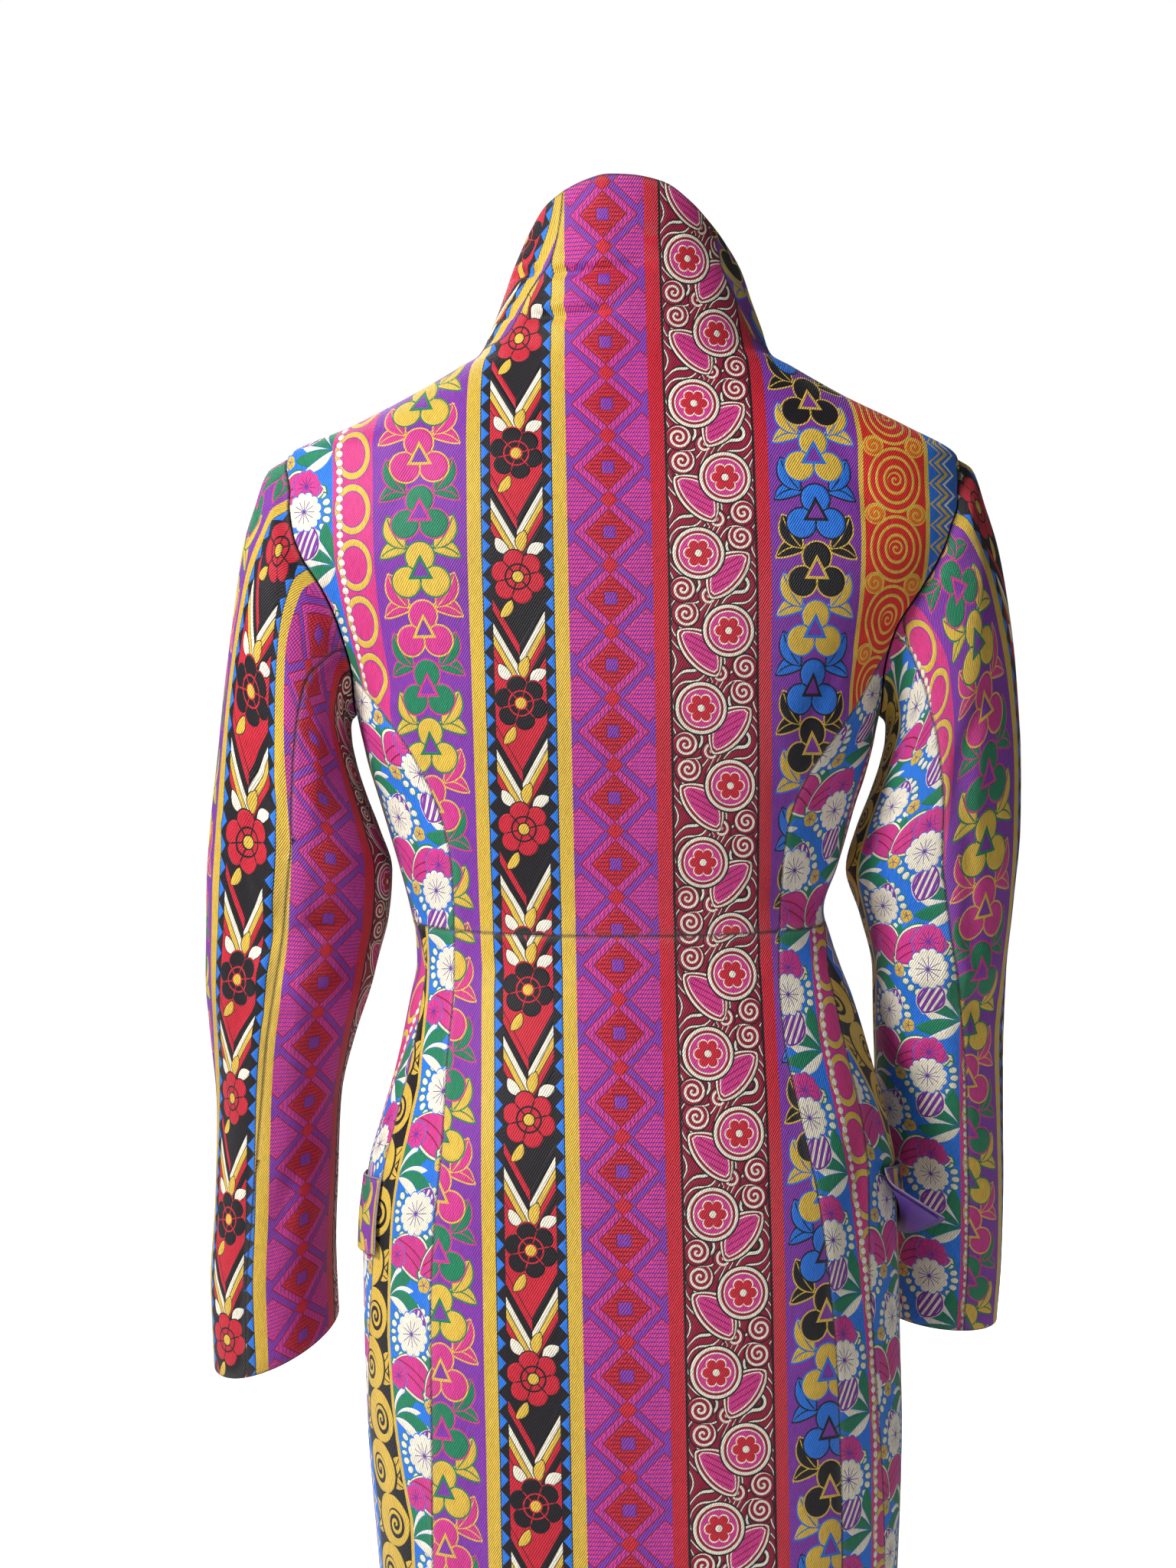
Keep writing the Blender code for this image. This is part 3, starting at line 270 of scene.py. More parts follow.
# Sleeve sections: outer and inner points seen from behind, the section's middle and half
# depth front to back, and how far the back of the section dips below its middle
SLEEVE_COLUMNS = "t out_x out_z in_x in_z y depth dip"
SLEEVE = {
    "left": table(SLEEVE_COLUMNS, [
        (0.0, 0.2105, -0.0645, 0.1672, -0.2252, 0.0, 0.053, 0.0),
        (0.03, 0.2221, -0.072, 0.17, -0.2285, 0.0, 0.056, 0.0),
        (0.07, 0.2303, -0.093, 0.1712, -0.2335, -0.001, 0.059, 0.0),
        (0.13, 0.2386, -0.12, 0.1708, -0.242, -0.002, 0.061, 0.001),
        (0.2, 0.2445, -0.16, 0.168, -0.256, -0.003, 0.062, 0.002),
        (0.28, 0.25, -0.206, 0.1618, -0.276, -0.004, 0.062, 0.003),
        (0.36, 0.2552, -0.25, 0.1535, -0.298, -0.006, 0.061, 0.004),
        (0.44, 0.2604, -0.294, 0.1458, -0.323, -0.009, 0.06, 0.005),
        (0.52, 0.264, -0.34, 0.147, -0.352, -0.014, 0.058, 0.006),
        (0.6, 0.2653, -0.385, 0.156, -0.387, -0.021, 0.056, 0.008),
        (0.68, 0.263, -0.429, 0.1705, -0.427, -0.03, 0.053, 0.009),
        (0.76, 0.2604, -0.475, 0.1805, -0.468, -0.04, 0.05, 0.01),
        (0.84, 0.2625, -0.532, 0.1838, -0.518, -0.05, 0.048, 0.011),
        (0.92, 0.2668, -0.59, 0.1855, -0.568, -0.061, 0.0465, 0.012),
        (1.0, 0.2662, -0.644, 0.185, -0.613, -0.071, 0.045, 0.013),
    ]),
    "right": table(SLEEVE_COLUMNS, [
        (0.0, 0.2085, -0.0645, 0.1595, -0.2252, 0.0, 0.053, 0.0),
        (0.03, 0.2165, -0.07, 0.1628, -0.2285, 0.0, 0.056, 0.0),
        (0.07, 0.225, -0.092, 0.1645, -0.2335, -0.001, 0.059, 0.0),
        (0.13, 0.2345, -0.121, 0.1642, -0.242, -0.002, 0.061, 0.001),
        (0.2, 0.241, -0.16, 0.1612, -0.256, -0.003, 0.062, 0.002),
        (0.28, 0.2465, -0.206, 0.1545, -0.276, -0.005, 0.062, 0.003),
        (0.36, 0.2493, -0.25, 0.1462, -0.298, -0.008, 0.061, 0.004),
        (0.44, 0.2498, -0.294, 0.14, -0.323, -0.012, 0.059, 0.005),
        (0.52, 0.2462, -0.34, 0.149, -0.352, -0.018, 0.057, 0.006),
        (0.6, 0.2428, -0.385, 0.1585, -0.387, -0.026, 0.054, 0.008),
        (0.68, 0.2432, -0.429, 0.1605, -0.427, -0.038, 0.051, 0.008),
        (0.76, 0.2452, -0.477, 0.163, -0.47, -0.053, 0.049, 0.007),
        (0.84, 0.2476, -0.529, 0.1672, -0.517, -0.069, 0.047, 0.006),
        (0.92, 0.2488, -0.578, 0.17, -0.565, -0.085, 0.045, 0.006),
        (1.0, 0.2474, -0.62, 0.1705, -0.612, -0.097, 0.043, 0.005),
    ]),
}
SLEEVE_ROWS = finer([0.0, 0.03, 0.07, 0.12, 0.18, 0.25, 0.32, 0.39, 0.45, 0.51, 0.57, 0.63,
                     0.69, 0.76, 0.84, 0.92, 1.0])
ARMHOLE_BLEND_END = 0.16
ARMHOLE_CLEARANCE = 0.0005

# Sleeve seams, as angles round the section: 90 outside, 0 behind, -90 against the body
SLEEVE_SEAMS = table("t left right front", [
    (0.0, -30.0, -15.0, -120.0),
    (0.05, -27.0, -24.0, -123.0),
    (0.13, -20.0, -27.0, -129.0),
    (0.26, -8.0, -14.0, -138.0),
    (0.38, -1.0, -3.0, -144.0),
    (0.53, 3.0, 2.0, -149.0),
    (0.62, 5.0, 9.0, -150.0),
    (0.72, 8.0, 16.0, -150.0),
    (0.85, 16.0, 17.0, -150.0),
    (1.0, 22.0, 17.0, -150.0),
])

# Broad folds of the sleeves: centre, half-lengths along and round, drift in degrees over
# the whole sleeve, and height (negative is a trough)
FOLD_COLUMNS = "t phi run spread drift height"
SLEEVE_FOLDS = {
    "left": table(FOLD_COLUMNS, [
        (0.3, 48.0, 0.2, 16.0, 60.0, 0.0022),
        (0.36, 22.0, 0.18, 14.0, 70.0, -0.0026),
        (0.55, -50.0, 0.06, 45.0, -200.0, -0.0045),
        (0.62, -20.0, 0.07, 38.0, 240.0, 0.0032),
        (0.7, 60.0, 0.14, 18.0, -90.0, -0.0026),
        (0.56, 180.0, 0.07, 55.0, 60.0, -0.0048),
        (0.64, 150.0, 0.06, 45.0, 120.0, 0.003),
    ]),
    "right": table(FOLD_COLUMNS, [
        (0.28, 42.0, 0.18, 16.0, -40.0, -0.0022),
        (0.5, -45.0, 0.06, 40.0, 200.0, -0.0034),
        (0.57, -15.0, 0.06, 36.0, -160.0, 0.0026),
        (0.66, 55.0, 0.13, 18.0, 60.0, -0.0022),
        (0.54, 180.0, 0.07, 55.0, -60.0, -0.0048),
        (0.63, 200.0, 0.06, 45.0, -120.0, 0.003),
    ]),
}

# Grid counts: segments along and across each panel
PRINCESS_ROWS = {"left": 7 * FINE, "right": 8 * FINE}
SHOULDER_COLUMNS = 5 * FINE
COLLAR_COLUMNS = 8 * FINE
COLLAR_ROWS = 10 * FINE
NECK_COLUMNS = 7 * FINE
SKIRT_ROWS = 12 * FINE
SKIRT_ROW_GROWTH = 1.15
FLAP_ACROSS = finer([0.0, 0.02, 0.09, 0.17, 0.26, 0.35, 0.45, 0.57, 0.71, 0.86, 0.98, 1.0])
FLAP_DOWN = finer([0.0, 0.22, 0.44, 0.68, 0.93, 1.0])

SIGN = {"left": 1.0, "right": -1.0}
BACK_MIDDLE = 0.0
FRONT_MIDDLE = 180.0

# The woven bands of the cloth from one side to the other, and their widths
BANDS = (
    ("scroll", 0.042), ("line", 0.003), ("meadow", 0.072), ("beads", 0.026), ("chain_warm", 0.058),
    ("gold", 0.0085), ("teeth", 0.006), ("folk", 0.031), ("teeth_back", 0.006), ("gold", 0.0085),
    ("lozenge", 0.05), ("red", 0.009), ("swirl", 0.054), ("red", 0.008), ("chain_cool", 0.056),
    ("line", 0.003), ("rings", 0.04), ("line", 0.003), ("zigzag", 0.024),
)
BAND_WIDTHS = np.array([width for _, width in BANDS])
BAND_ENDS = np.cumsum(BAND_WIDTHS)
REPEAT = float(BAND_ENDS[-1])
LOZENGE = [name for name, _ in BANDS].index("lozenge")
LOZENGE_MIDDLE = float(BAND_ENDS[LOZENGE] - BAND_WIDTHS[LOZENGE] / 2)

# Where each panel is cut from the cloth: the place across the cloth of its reference line,
# the way across it runs, its lean in degrees, its shift along the cloth, the height at which
# its reference line has no lean, and how much the stripes bend away from that height
LAYS = {
    "back_bodice": (LOZENGE_MIDDLE, -1.0, 0.0, 0.0, 0.0, 0.0),
    "back_skirt": (LOZENGE_MIDDLE, -1.0, 0.0, 0.021, 0.0, 0.0),
    "side_back_bodice_left": (0.086, -1.0, 9.0, 0.013, -0.18, 0.0),
    "side_back_bodice_right": (0.079, -1.0, -9.0, 0.04, -0.18, 0.0),
    "side_skirt_left": (0.0825, -1.0, -1.4, 0.03, -0.58, -1.1),
    "side_skirt_right": (0.091, -1.0, 0.0, 0.005, -0.58, 0.0),
    "front_bodice_left": (LOZENGE_MIDDLE + 0.062, -1.0, 0.0, 0.01, 0.0, 0.0),
    "front_bodice_right": (LOZENGE_MIDDLE + 0.006, -1.0, 0.0, 0.01, 0.0, 0.0),
    "front_skirt_left": (LOZENGE_MIDDLE + 0.062, -1.0, 0.0, 0.027, 0.0, 0.0),
    "front_skirt_right": (LOZENGE_MIDDLE + 0.006, -1.0, 0.0, 0.027, 0.0, 0.0),
    "top_sleeve_left": (0.262, -1.0, 0.0, 0.015, 0.0, 0.0),
    "under_sleeve_left": (0.261, -1.0, 0.0, 0.037, 0.0, 0.0),
    "top_sleeve_right": (0.142, 1.0, 0.0, 0.02, -0.14, -1.0),
    "under_sleeve_right": (0.11, 1.0, 0.0, 0.052, 0.0, 0.0),
    "flap_left": (0.205, -1.0, 0.0, 0.0, 0.0, 0.0),
    "flap_right": (0.19, 1.0, 0.0, 0.0, 0.0, 0.0),
}

# Where the cloth's middle lies on the back: its place at the neck and its slant below, and how
# far from a panel's level its stripes go on bending
BACK_LEAN = (0.0121, 0.0199)
BEND_REACH = 0.13

# Share of the way round the body that counts in the back's stripes: over the shoulders the
# cloth runs level
BACK_WRAP = table("z share", [
    (-0.86, 1.0), (-0.2, 0.95), (-0.1, 0.35), (-0.02, 0.3), (0.03, 1.0), (0.12, 1.0),
])

# Height below which a side panel's stripes follow the princess seam
SIDE_SEAM_TOP = -0.23

# Rows and angles at which distances round the body and round a sleeve are measured
BODY_ROWS = np.linspace(HEM_Z - 0.005, 0.125, 200)
BODY_ANGLES = np.arange(-204.0, 205.0, 2.0)
SLEEVE_RUN_ROWS = np.linspace(0.0, 1.0, 61)
SLEEVE_ANGLES = np.arange(-210.0, 271.0, 3.0)

# Points read along a line for each of its own, before it is spaced evenly
EVEN_SAMPLES = 12
NECK_SAMPLES = 25
NECK_EDGE_SAMPLES = 6

# Creases pressed or worn into the cloth, placed as seen from behind or before, in
# millimetres: the two ends in X and Z, half-width, and height (negative is a trough)
CREASE_COLUMNS = "x0 z0 x1 z1 width height"
BACK_CREASES = millimetres(CREASE_COLUMNS, [
    (150, -190, 112, -262, 6, -2.2),
    (164, -182, 128, -236, 5, 1.8),
    (-146, -176, -104, -248, 6, -2.2),
    (-160, -166, -124, -214, 5, 1.8),
    (88, -334, 20, -346, 6, -1.8),
    (-80, -330, -16, -344, 6, -1.4),
    (92, -376, 30, -384, 7, -1.8),
    (-86, -374, -34, -386, 7, -1.9),
    (60, -352, -60, -351, 5, 1.4),
    (150, -120, 120, -60, 8, -1.8),
    (-150, -112, -122, -56, 8, -1.8),
    (236, -236, 186, -316, 6, -3.1),
    (250, -286, 200, -352, 6, 3.1),
    (170, -352, 236, -372, 5, -3.7),
    (176, -394, 250, -388, 6, 3.2),
    (180, -420, 248, -410, 5, -3.2),
    (190, -480, 220, -560, 6, -2.4),
    (188, -590, 266, -598, 1.6, -0.7),
    (-160, -344, -226, -362, 5, -2.9),
    (-168, -386, -236, -378, 6, 3.1),
    (-172, -410, -236, -404, 5, -3.1),
    (-226, -200, -196, -300, 7, -2.7),
    (-182, -480, -214, -560, 6, -2.4),
    (-172, -588, -246, -594, 1.6, -0.6),
    (150, -460, 136, -600, 10, -2.2),
    (-146, -470, -136, -610, 10, -2.1),
    (82, 59, -18, 57.5, 3.2, -2.4),
    (84, 50, -22, 50.5, 3.2, -4.6),
    (74, 57, -10, 56, 3.6, 2),
    (80, 22.5, 0, 22.5, 3.2, -4.2),
    (74, 29, 6, 28.5, 3.6, 2),
    (30, 71, -36, 69, 3.4, -2),
    (199, -200, 229, -500, 6, 2.4),
    (179, -190, 206, -470, 7, 2),
    (218, -230, 242, -470, 6, -1.8),
    (-190, -210, -216, -520, 6, 2),
    (-164, -200, -192, -500, 7, 1.8),
    (-208, -240, -230, -480, 6, -1.6),
])
FRONT_CREASES = millimetres(CREASE_COLUMNS, [
    (120, -150, 60, -232, 9, -2.6),
    (-116, -146, -54, -236, 9, -2.6),
    (70, -336, 10, -346, 6, -2.2),
    (-74, -332, -12, -344, 6, -1.9),
    (58, -388, 8, -398, 7, 1.8),
    (-50, -386, -6, -400, 7, 1.8),
    (192, -330, 244, -352, 6, -3.7),
    (196, -366, 252, -372, 6, 3.1),
    (198, -404, 252, -396, 6, -3.6),
    (-170, -320, -226, -340, 6, -3.6),
    (-174, -372, -232, -366, 6, 3.1),
    (-176, -402, -234, -396, 6, -3.2),
])

# A crease's bow as a share of its length and at most, its width at the start and what it
# gains by the end, and how soon it shows on cloth that turns its way
CREASE_BOW = 0.06
CREASE_BOW_LIMIT = 0.005
CREASE_START_WIDTH = 0.7
CREASE_WIDENING = 0.6
CREASE_FACING = 2.0

# Depth at which a crease looks darkest, and the shade that it then has
CREASE_DARK = 0.005
CREASE_SHADE = 0.97

# Small puckers along every seam: height, reach from the seam, and pitch along it, which
# drifts and leans
PUCKER_HEIGHT = 0.00018
PUCKER_REACH = 0.009
PUCKER_PITCH = 0.0052
PUCKER_SWAY = 3
PUCKER_DRIFT = 0.031
PUCKER_LEAN = 0.011

# Distances from a seam within which the cloth lies flat, and over which its shade fades
SEATED_REACH = 0.006
EDGE_REACH = 0.012

# Slow unevenness of worn cloth: its height, and for each wave its share and the turns in
# X, Y and Z with the start of the two sines that are multiplied
WAVE_HEIGHT = 0.0003
WAVES = (
    (1.0, (41, 0, 23, 1.3), (0, -29, 17, 0.4)),
    (0.6, (37, 0, 63, 2.1), (19, 31, 0, 0.0)),
)

# Points whose distance from the seam is measured at a time, to spare memory
BLOCK = 2000

# Digits that points have in common where grids meet, how near to a cut a corner counts as
# on it, and the cross product below which three points lie in one line
MERGE_DIGITS = 6
CUT_REACH = 1e-6
IN_LINE = 1e-12

# How often the height where a seam crosses the waist is worked out anew
WAIST_ROUNDS = 4

# Least length that two seams meeting at a corner divide their way inwards by
MITRE_LIMIT = 0.5


def smooth(at, xs, ys):
    """Monotone cubic through the points (xs, ys), read at the values in at."""
    order = np.argsort(xs)
    xs = np.asarray(xs, float)[order]
    ys = np.asarray(ys, float)[order]
    step = np.diff(xs)
    slope = np.diff(ys) / step
    tangent = np.empty_like(ys)
    tangent[0] = slope[0]
    tangent[-1] = slope[-1]
    same_way = slope[:-1] * slope[1:] > 0
    safe_a = np.where(same_way, slope[:-1], 1.0)
    safe_b = np.where(same_way, slope[1:], 1.0)
    weight_a = 2 * step[1:] + step[:-1]
    weight_b = step[1:] + 2 * step[:-1]
    mean = (weight_a + weight_b) / (weight_a / safe_a + weight_b / safe_b)
    tangent[1:-1] = np.where(same_way, mean, 0.0)
    at = np.clip(at, xs[0], xs[-1])
    i = np.clip(np.searchsorted(xs, at) - 1, 0, len(xs) - 2)
    u = (at - xs[i]) / step[i]
    a = (1 + 2 * u) * (1 - u) ** 2
    b = u * (1 - u) ** 2
    c = u * u * (3 - 2 * u)
    d = u * u * (u - 1)
    return a * ys[i] + b * step[i] * tangent[i] + c * ys[i + 1] + d * step[i] * tangent[i + 1]


def paired(*values):
    """Values side by side, one point in each row."""
    return np.stack(values, axis=-1)


def unit(vectors, towards=None):
    """Vectors of length 1, turned to the side of others where these are given."""
    vectors = vectors / np.linalg.norm(vectors, axis=-1, keepdims=True)
    if towards is None:
        return vectors
    return vectors * np.sign(np.sum(vectors * towards, axis=-1, keepdims=True))


def torso_row(name, z):
    """One column of the body's ring table, read at heights z."""
    return smooth(z, TORSO["z"], TORSO[name])


def torso(theta, z):
    """Points of the body surface at angles theta and heights z."""
    theta, z = np.broadcast_arrays(np.asarray(theta, float), np.asarray(z, float))
    across = np.sin(np.radians(theta))
    along = np.cos(np.radians(theta))
    power = 2.0 / torso_row("square", z)
    half = np.where(across >= 0, torso_row("left", z), torso_row("right", z))
    deep = np.where(along >= 0, torso_row("back", z), torso_row("front", z))
    x = half * np.sign(across) * np.abs(across) ** power
    y = deep * np.sign(along) * np.abs(along) ** power
    return paired(x, y, z)


def torso_normal(theta, z):
    """Outward unit normals of the body surface, by small steps each way."""
    turn = 0.6
    rise = 0.0015
    du = torso(theta + turn, z) - torso(theta - turn, z)
    dz = torso(theta, z + rise) - torso(theta, z - rise)
    return unit(np.cross(dz, du), torso(theta, z) * (1.0, 1.0, 0.0))


def back_theta(x, z):
    """The angle on the back half whose point lies at x, at height z."""
    half = np.where(x >= 0, torso_row("left", z), torso_row("right", z))
    share = np.clip(np.abs(x) / half, 0.0, 1.0) ** (torso_row("square", z) / 2.0)
    return np.sign(x) * np.degrees(np.arcsin(share))


def waist_z(theta):
    """Height of the waist seam, which rises a little towards the sides and front."""
    return WAIST_BACK_Z + WAIST_FRONT_RISE * np.sin(np.radians(theta) / 2) ** 2


def armhole(phi, side):
    """(theta, z) of the armhole at angles phi: 90 at the shoulder, 0 behind, -90 under."""
    phi = np.asarray(phi, float)
    fall = (1 - np.sin(np.radians(phi))) / 2
    behind = np.cos(np.radians(phi)) >= 0
    sweep = np.where(behind, -ARMHOLE_SWEEP["back"], ARMHOLE_SWEEP["front"])
    bulge = np.sin(np.pi * np.clip(fall, 0, 1)) ** ARMHOLE_ROUNDNESS
    theta = 90.0 + sweep * bulge
    z = SHOULDER_TIP_Z + (UNDERARM_Z - SHOULDER_TIP_Z) * fall
    return paired(SIGN[side] * theta, z)


def run_along(points, axis=0):
    """Distance along lines of points, at each of them."""
    steps = np.linalg.norm(np.diff(points, axis=axis), axis=-1)
    start = np.zeros_like(np.take(steps, [0], axis=axis))
    return np.concatenate([start, np.cumsum(steps, axis=axis)], axis=axis)


def run_on_body(line):
    """Distance along a line of (theta, z) on the body, at each of its points."""
    return run_along(torso(line[:, 0], line[:, 1]))


def even_on_body(line, count):
    """Spaces a line of (theta, z) evenly along the body, ends kept."""
    line = np.asarray(line, float)
    knots = np.arange(len(line))
    fine_at = np.linspace(0, len(line) - 1, EVEN_SAMPLES * len(line))
    fine = paired(*(smooth(fine_at, knots, column) for column in line.T))
    run = run_on_body(fine)
    at = np.linspace(0.0, run[-1], count + 1)
    return paired(*(np.interp(at, run, column) for column in fine.T))


def princess_xz(side, z):
    """Distance from the middle of the princess seam at heights z."""
    seam = PRINCESS[side]
    top = armhole(PRINCESS_JOINS_ARMHOLE[side], side)
    top_x = abs(torso(top[0], top[1])[0])
    zs = np.append(seam["z"], top[1])
    xs = np.append(seam["x"], top_x)
    return smooth(z, zs, xs)


def princess_theta(side, z):
    """Angle of the princess seam at heights z."""
    return back_theta(SIGN[side] * princess_xz(side, z), z)


def waist_corner(theta_at):
    """(theta, z) where a seam crosses the waist seam."""
    z = WAIST_BACK_Z
    for _ in range(WAIST_ROUNDS):
        theta = theta_at(z)
        z = waist_z(theta)
    return theta, z


def princess_bodice(side):
    """(theta, z) down the bodice part of the princess seam, armhole to waist."""
    top = armhole(PRINCESS_JOINS_ARMHOLE[side], side)[1]
    bottom = waist_corner(partial(princess_theta, side))[1]
    z = np.linspace(top, bottom, PRINCESS_ROWS[side] + 1)
    return paired(princess_theta(side, z), z)


def side_seam_bodice(side):
    """(theta, z) down the bodice side seam, underarm to waist."""
    share = np.linspace(0.0, 1.0, PRINCESS_ROWS[side] + 1)
    theta = 90.0 + (SIDE_SEAM_AT_WAIST - 90.0) * share
    z = UNDERARM_Z + (waist_z(SIDE_SEAM_AT_WAIST) - UNDERARM_Z) * share
    return paired(SIGN[side] * theta, z)


def front_edge_theta(side, z):
    """Angle of the front edge, which passes the middle by the overlap."""
    other = "right" if side == "left" else "left"
    half = torso_row(other, z)
    share = (FRONT_OVERLAP / half) ** (torso_row("square", z) / 2.0)
    return SIGN[side] * (180.0 + np.degrees(np.arcsin(share)))


def ring_size(z):
    """Mean radius of the body's ring at heights z."""
    return sum(torso_row(name, z) for name in ("left", "right", "back", "front")) / 4


def flattened(line, middle):
    """(theta, z) as (distance round the body from the middle, z), the way cloth lies flat."""
    theta, z = line[..., 0], line[..., 1]
    return paired(np.radians(theta - middle) * ring_size(z), z)


def coons(bottom, top, left, right, s, t, middle):
    """Grid of (theta, z) between four edge lines that share their corners.

    Rows run bottom to top. The grid is laid out on the flattened cloth.
    """
    bottom, top, left, right = (flattened(line, middle) for line in (bottom, top, left, right))
    s = s[None, :, None]
    t = t[:, None, None]
    ruled = (1 - t) * bottom[None] + t * top[None] + (1 - s) * left[:, None] + s * right[:, None]
    corners = (
        (1 - s) * (1 - t) * bottom[0] + s * (1 - t) * bottom[-1]
        + (1 - s) * t * top[0] + s * t * top[-1]
    )
    flat = ruled - corners
    theta = middle + np.degrees(flat[..., 0] / ring_size(flat[..., 1]))
    return paired(theta, flat[..., 1])


def join_grids(grids):
    """Merges grids of (points, normals, places) along the edges they share, with their quads."""
    numbers = {}
    joined = ([], [], [])
    quads = []
    for grid in grids:
        rows, columns = grid[0].shape[:2]
        at = np.empty((rows, columns), int)
        for spot in np.ndindex(rows, columns):
            key = tuple(np.round(grid[0][spot], MERGE_DIGITS))
            if key not in numbers:
                numbers[key] = len(numbers)
                for found, values in zip(joined, grid):
                    found.append(values[spot])
            at[spot] = numbers[key]
        for r, c in np.ndindex(rows - 1, columns - 1):
            quads.append((at[r, c], at[r, c + 1], at[r + 1, c + 1], at[r + 1, c]))
    points, normals, places = map(np.array, joined)
    return points, normals, places, quads


def facing(points, normals, faces):
    """Positive when the faces run anticlockwise seen from the side of their normals."""
    total = 0.0
    for face in faces:
        across = np.cross(points[face[1]] - points[face[0]], points[face[2]] - points[face[0]])
        total += across @ normals[face[0]]
    return total


def facing_out(points, normals, faces):
    """The faces as lists, turned so that they run anticlockwise seen from outside."""
    step = 1 if facing(points, normals, faces) > 0 else -1
    return [list(face)[::step] for face in faces]


def rim_edges(faces):
    """The directed edges that only one face uses, in the order of the faces."""
    edges = {}
    for face in faces:
        for edge in zip(face, face[1:] + face[:1]):
            edges[edge] = True
    return [(a, b) for a, b in edges if (b, a) not in edges]


def torso_panel(name, grids, side=None):
    """A panel of the body: grids of (theta, z) cut and laid as cloth."""
    surfaces = []
    for grid in grids:
        theta, z = grid[..., 0], grid[..., 1]
        normals = torso_normal(theta, z)
        lift = front_lift(side, theta, z) if side else np.zeros_like(theta)
        points = torso(theta, z) + normals * lift[..., None]
        surfaces.append((points, normals, body_cloth(name, theta, z)))
    return tailor(name, surfaces, WALL)


def round_runs(rings, angles):
    """Distance round each ring of points from its angle 0."""
    runs = run_along(rings, axis=1)
    return runs - runs[:, [int(np.searchsorted(angles, 0.0))]]


def steps_along(values, grid):
    """Where values stand in an evenly spaced grid, in whole steps and the share beyond."""
    at = np.clip((values - grid[0]) / (grid[1] - grid[0]), 0, len(grid) - 1.001)
    whole = at.astype(int)
    return whole, at - whole


def between(runs, rows, angles, row, angle):
    """Distances read between the rows and angles that they were measured at."""
    i, u = steps_along(angle, angles)
    j, v = steps_along(row, rows)
    near = runs[j, i] * (1 - u) + runs[j, i + 1] * u
    far = runs[j + 1, i] * (1 - u) + runs[j + 1, i + 1] * u
    return near * (1 - v) + far * v


BODY_RUNS = round_runs(torso(BODY_ANGLES[None], BODY_ROWS[:, None]), BODY_ANGLES)


def run_round(theta, z):
    """Distance round the body from the centre back at angles theta and heights z."""
    return between(BODY_RUNS, BODY_ROWS, BODY_ANGLES, z, theta)


def back_distance(theta, z):
    """Distance across the back from its middle; over the shoulders the cloth runs level."""
    x = torso(theta, z)[..., 0]
    wrap = smooth(z, BACK_WRAP["z"], BACK_WRAP["share"])
    return x + wrap * (run_round(theta, z) - x)


def cut_from_cloth(name, across, along):
    """Places across and along the cloth of a panel's points, by the panel's lay."""
    start, way, lean, shift, level, bend = LAYS[name]
    turn = math.radians(lean)
    off = along - level
    bent = bend * np.clip(off, -BEND_REACH, BEND_REACH) ** 2
    turned = across * math.cos(turn) + off * math.sin(turn) - bent
    risen = along * math.cos(turn) - across * math.sin(turn)
    return paired(start + way * turned, risen + shift)


def body_cloth(name, theta, z):
    """Cloth places of a body panel's points."""
    side = "left" if name.endswith("left") else "right"
    if name.startswith("back"):
        middle = BACK_LEAN[0] + BACK_LEAN[1] * z
        return cut_from_cloth(name, back_distance(theta, z) - middle, z)
    if name.startswith("side"):
        seam = princess_theta(side, np.clip(z, HEM_Z, SIDE_SEAM_TOP))
        return cut_from_cloth(name, run_round(theta, z) - run_round(seam, z), z)
    middle = np.full_like(theta, SIGN[side] * FRONT_MIDDLE)
    return cut_from_cloth(name, run_round(middle, z) - run_round(theta, z), z)


def sleeve_cloth(name, side, phi, t):
    """Cloth places of a sleeve's points."""
    rings = sleeve(side, SLEEVE_ANGLES[None], SLEEVE_RUN_ROWS[:, None])
    across = between(round_runs(rings, SLEEVE_ANGLES), SLEEVE_RUN_ROWS, SLEEVE_ANGLES, t, phi)
    down = np.interp(t, SLEEVE_RUN_ROWS, run_along(rings.mean(axis=1)))
    return cut_from_cloth(name, across, -down)


def crease_height(crease, flat, seen):
    """Height of one crease at points seen flat, by how much their cloth faces its way."""
    start = np.array([crease["x0"], crease["z0"]])
    reach = np.array([crease["x1"], crease["z1"]]) - start
    length = np.linalg.norm(reach)
    t = (flat - start) @ reach / length ** 2
    share = np.clip(t, 0, 1)
    bow = min(CREASE_BOW * length, CREASE_BOW_LIMIT) * np.sin(np.pi * share)
    off = (flat - start) @ np.array([-reach[1], reach[0]]) / length - bow
    fade = np.clip(1 - np.abs(2 * t - 1) ** 3, 0, 1)
    width = crease["width"] * (CREASE_START_WIDTH + CREASE_WIDENING * share)
    return crease["height"] * fade * seen * np.exp(-(off / width) ** 2)


def creased(points, normals):
    """Height of the listed creases at each point."""
    height = np.zeros(len(points))
    for creases, facing in ((BACK_CREASES, 1), (FRONT_CREASES, -1)):
        seen = np.clip(normals[:, 1] * facing * CREASE_FACING, 0, 1)
        for crease in creases:
            height += crease_height(crease, points[:, [0, 2]], seen)
    return height


def sine_wave(points, turns):
    """Sine of the turns in X, Y and Z and of a start."""
    x, y, z = points.T
    return np.sin(turns[0] * x + turns[1] * y + turns[2] * z + turns[3])


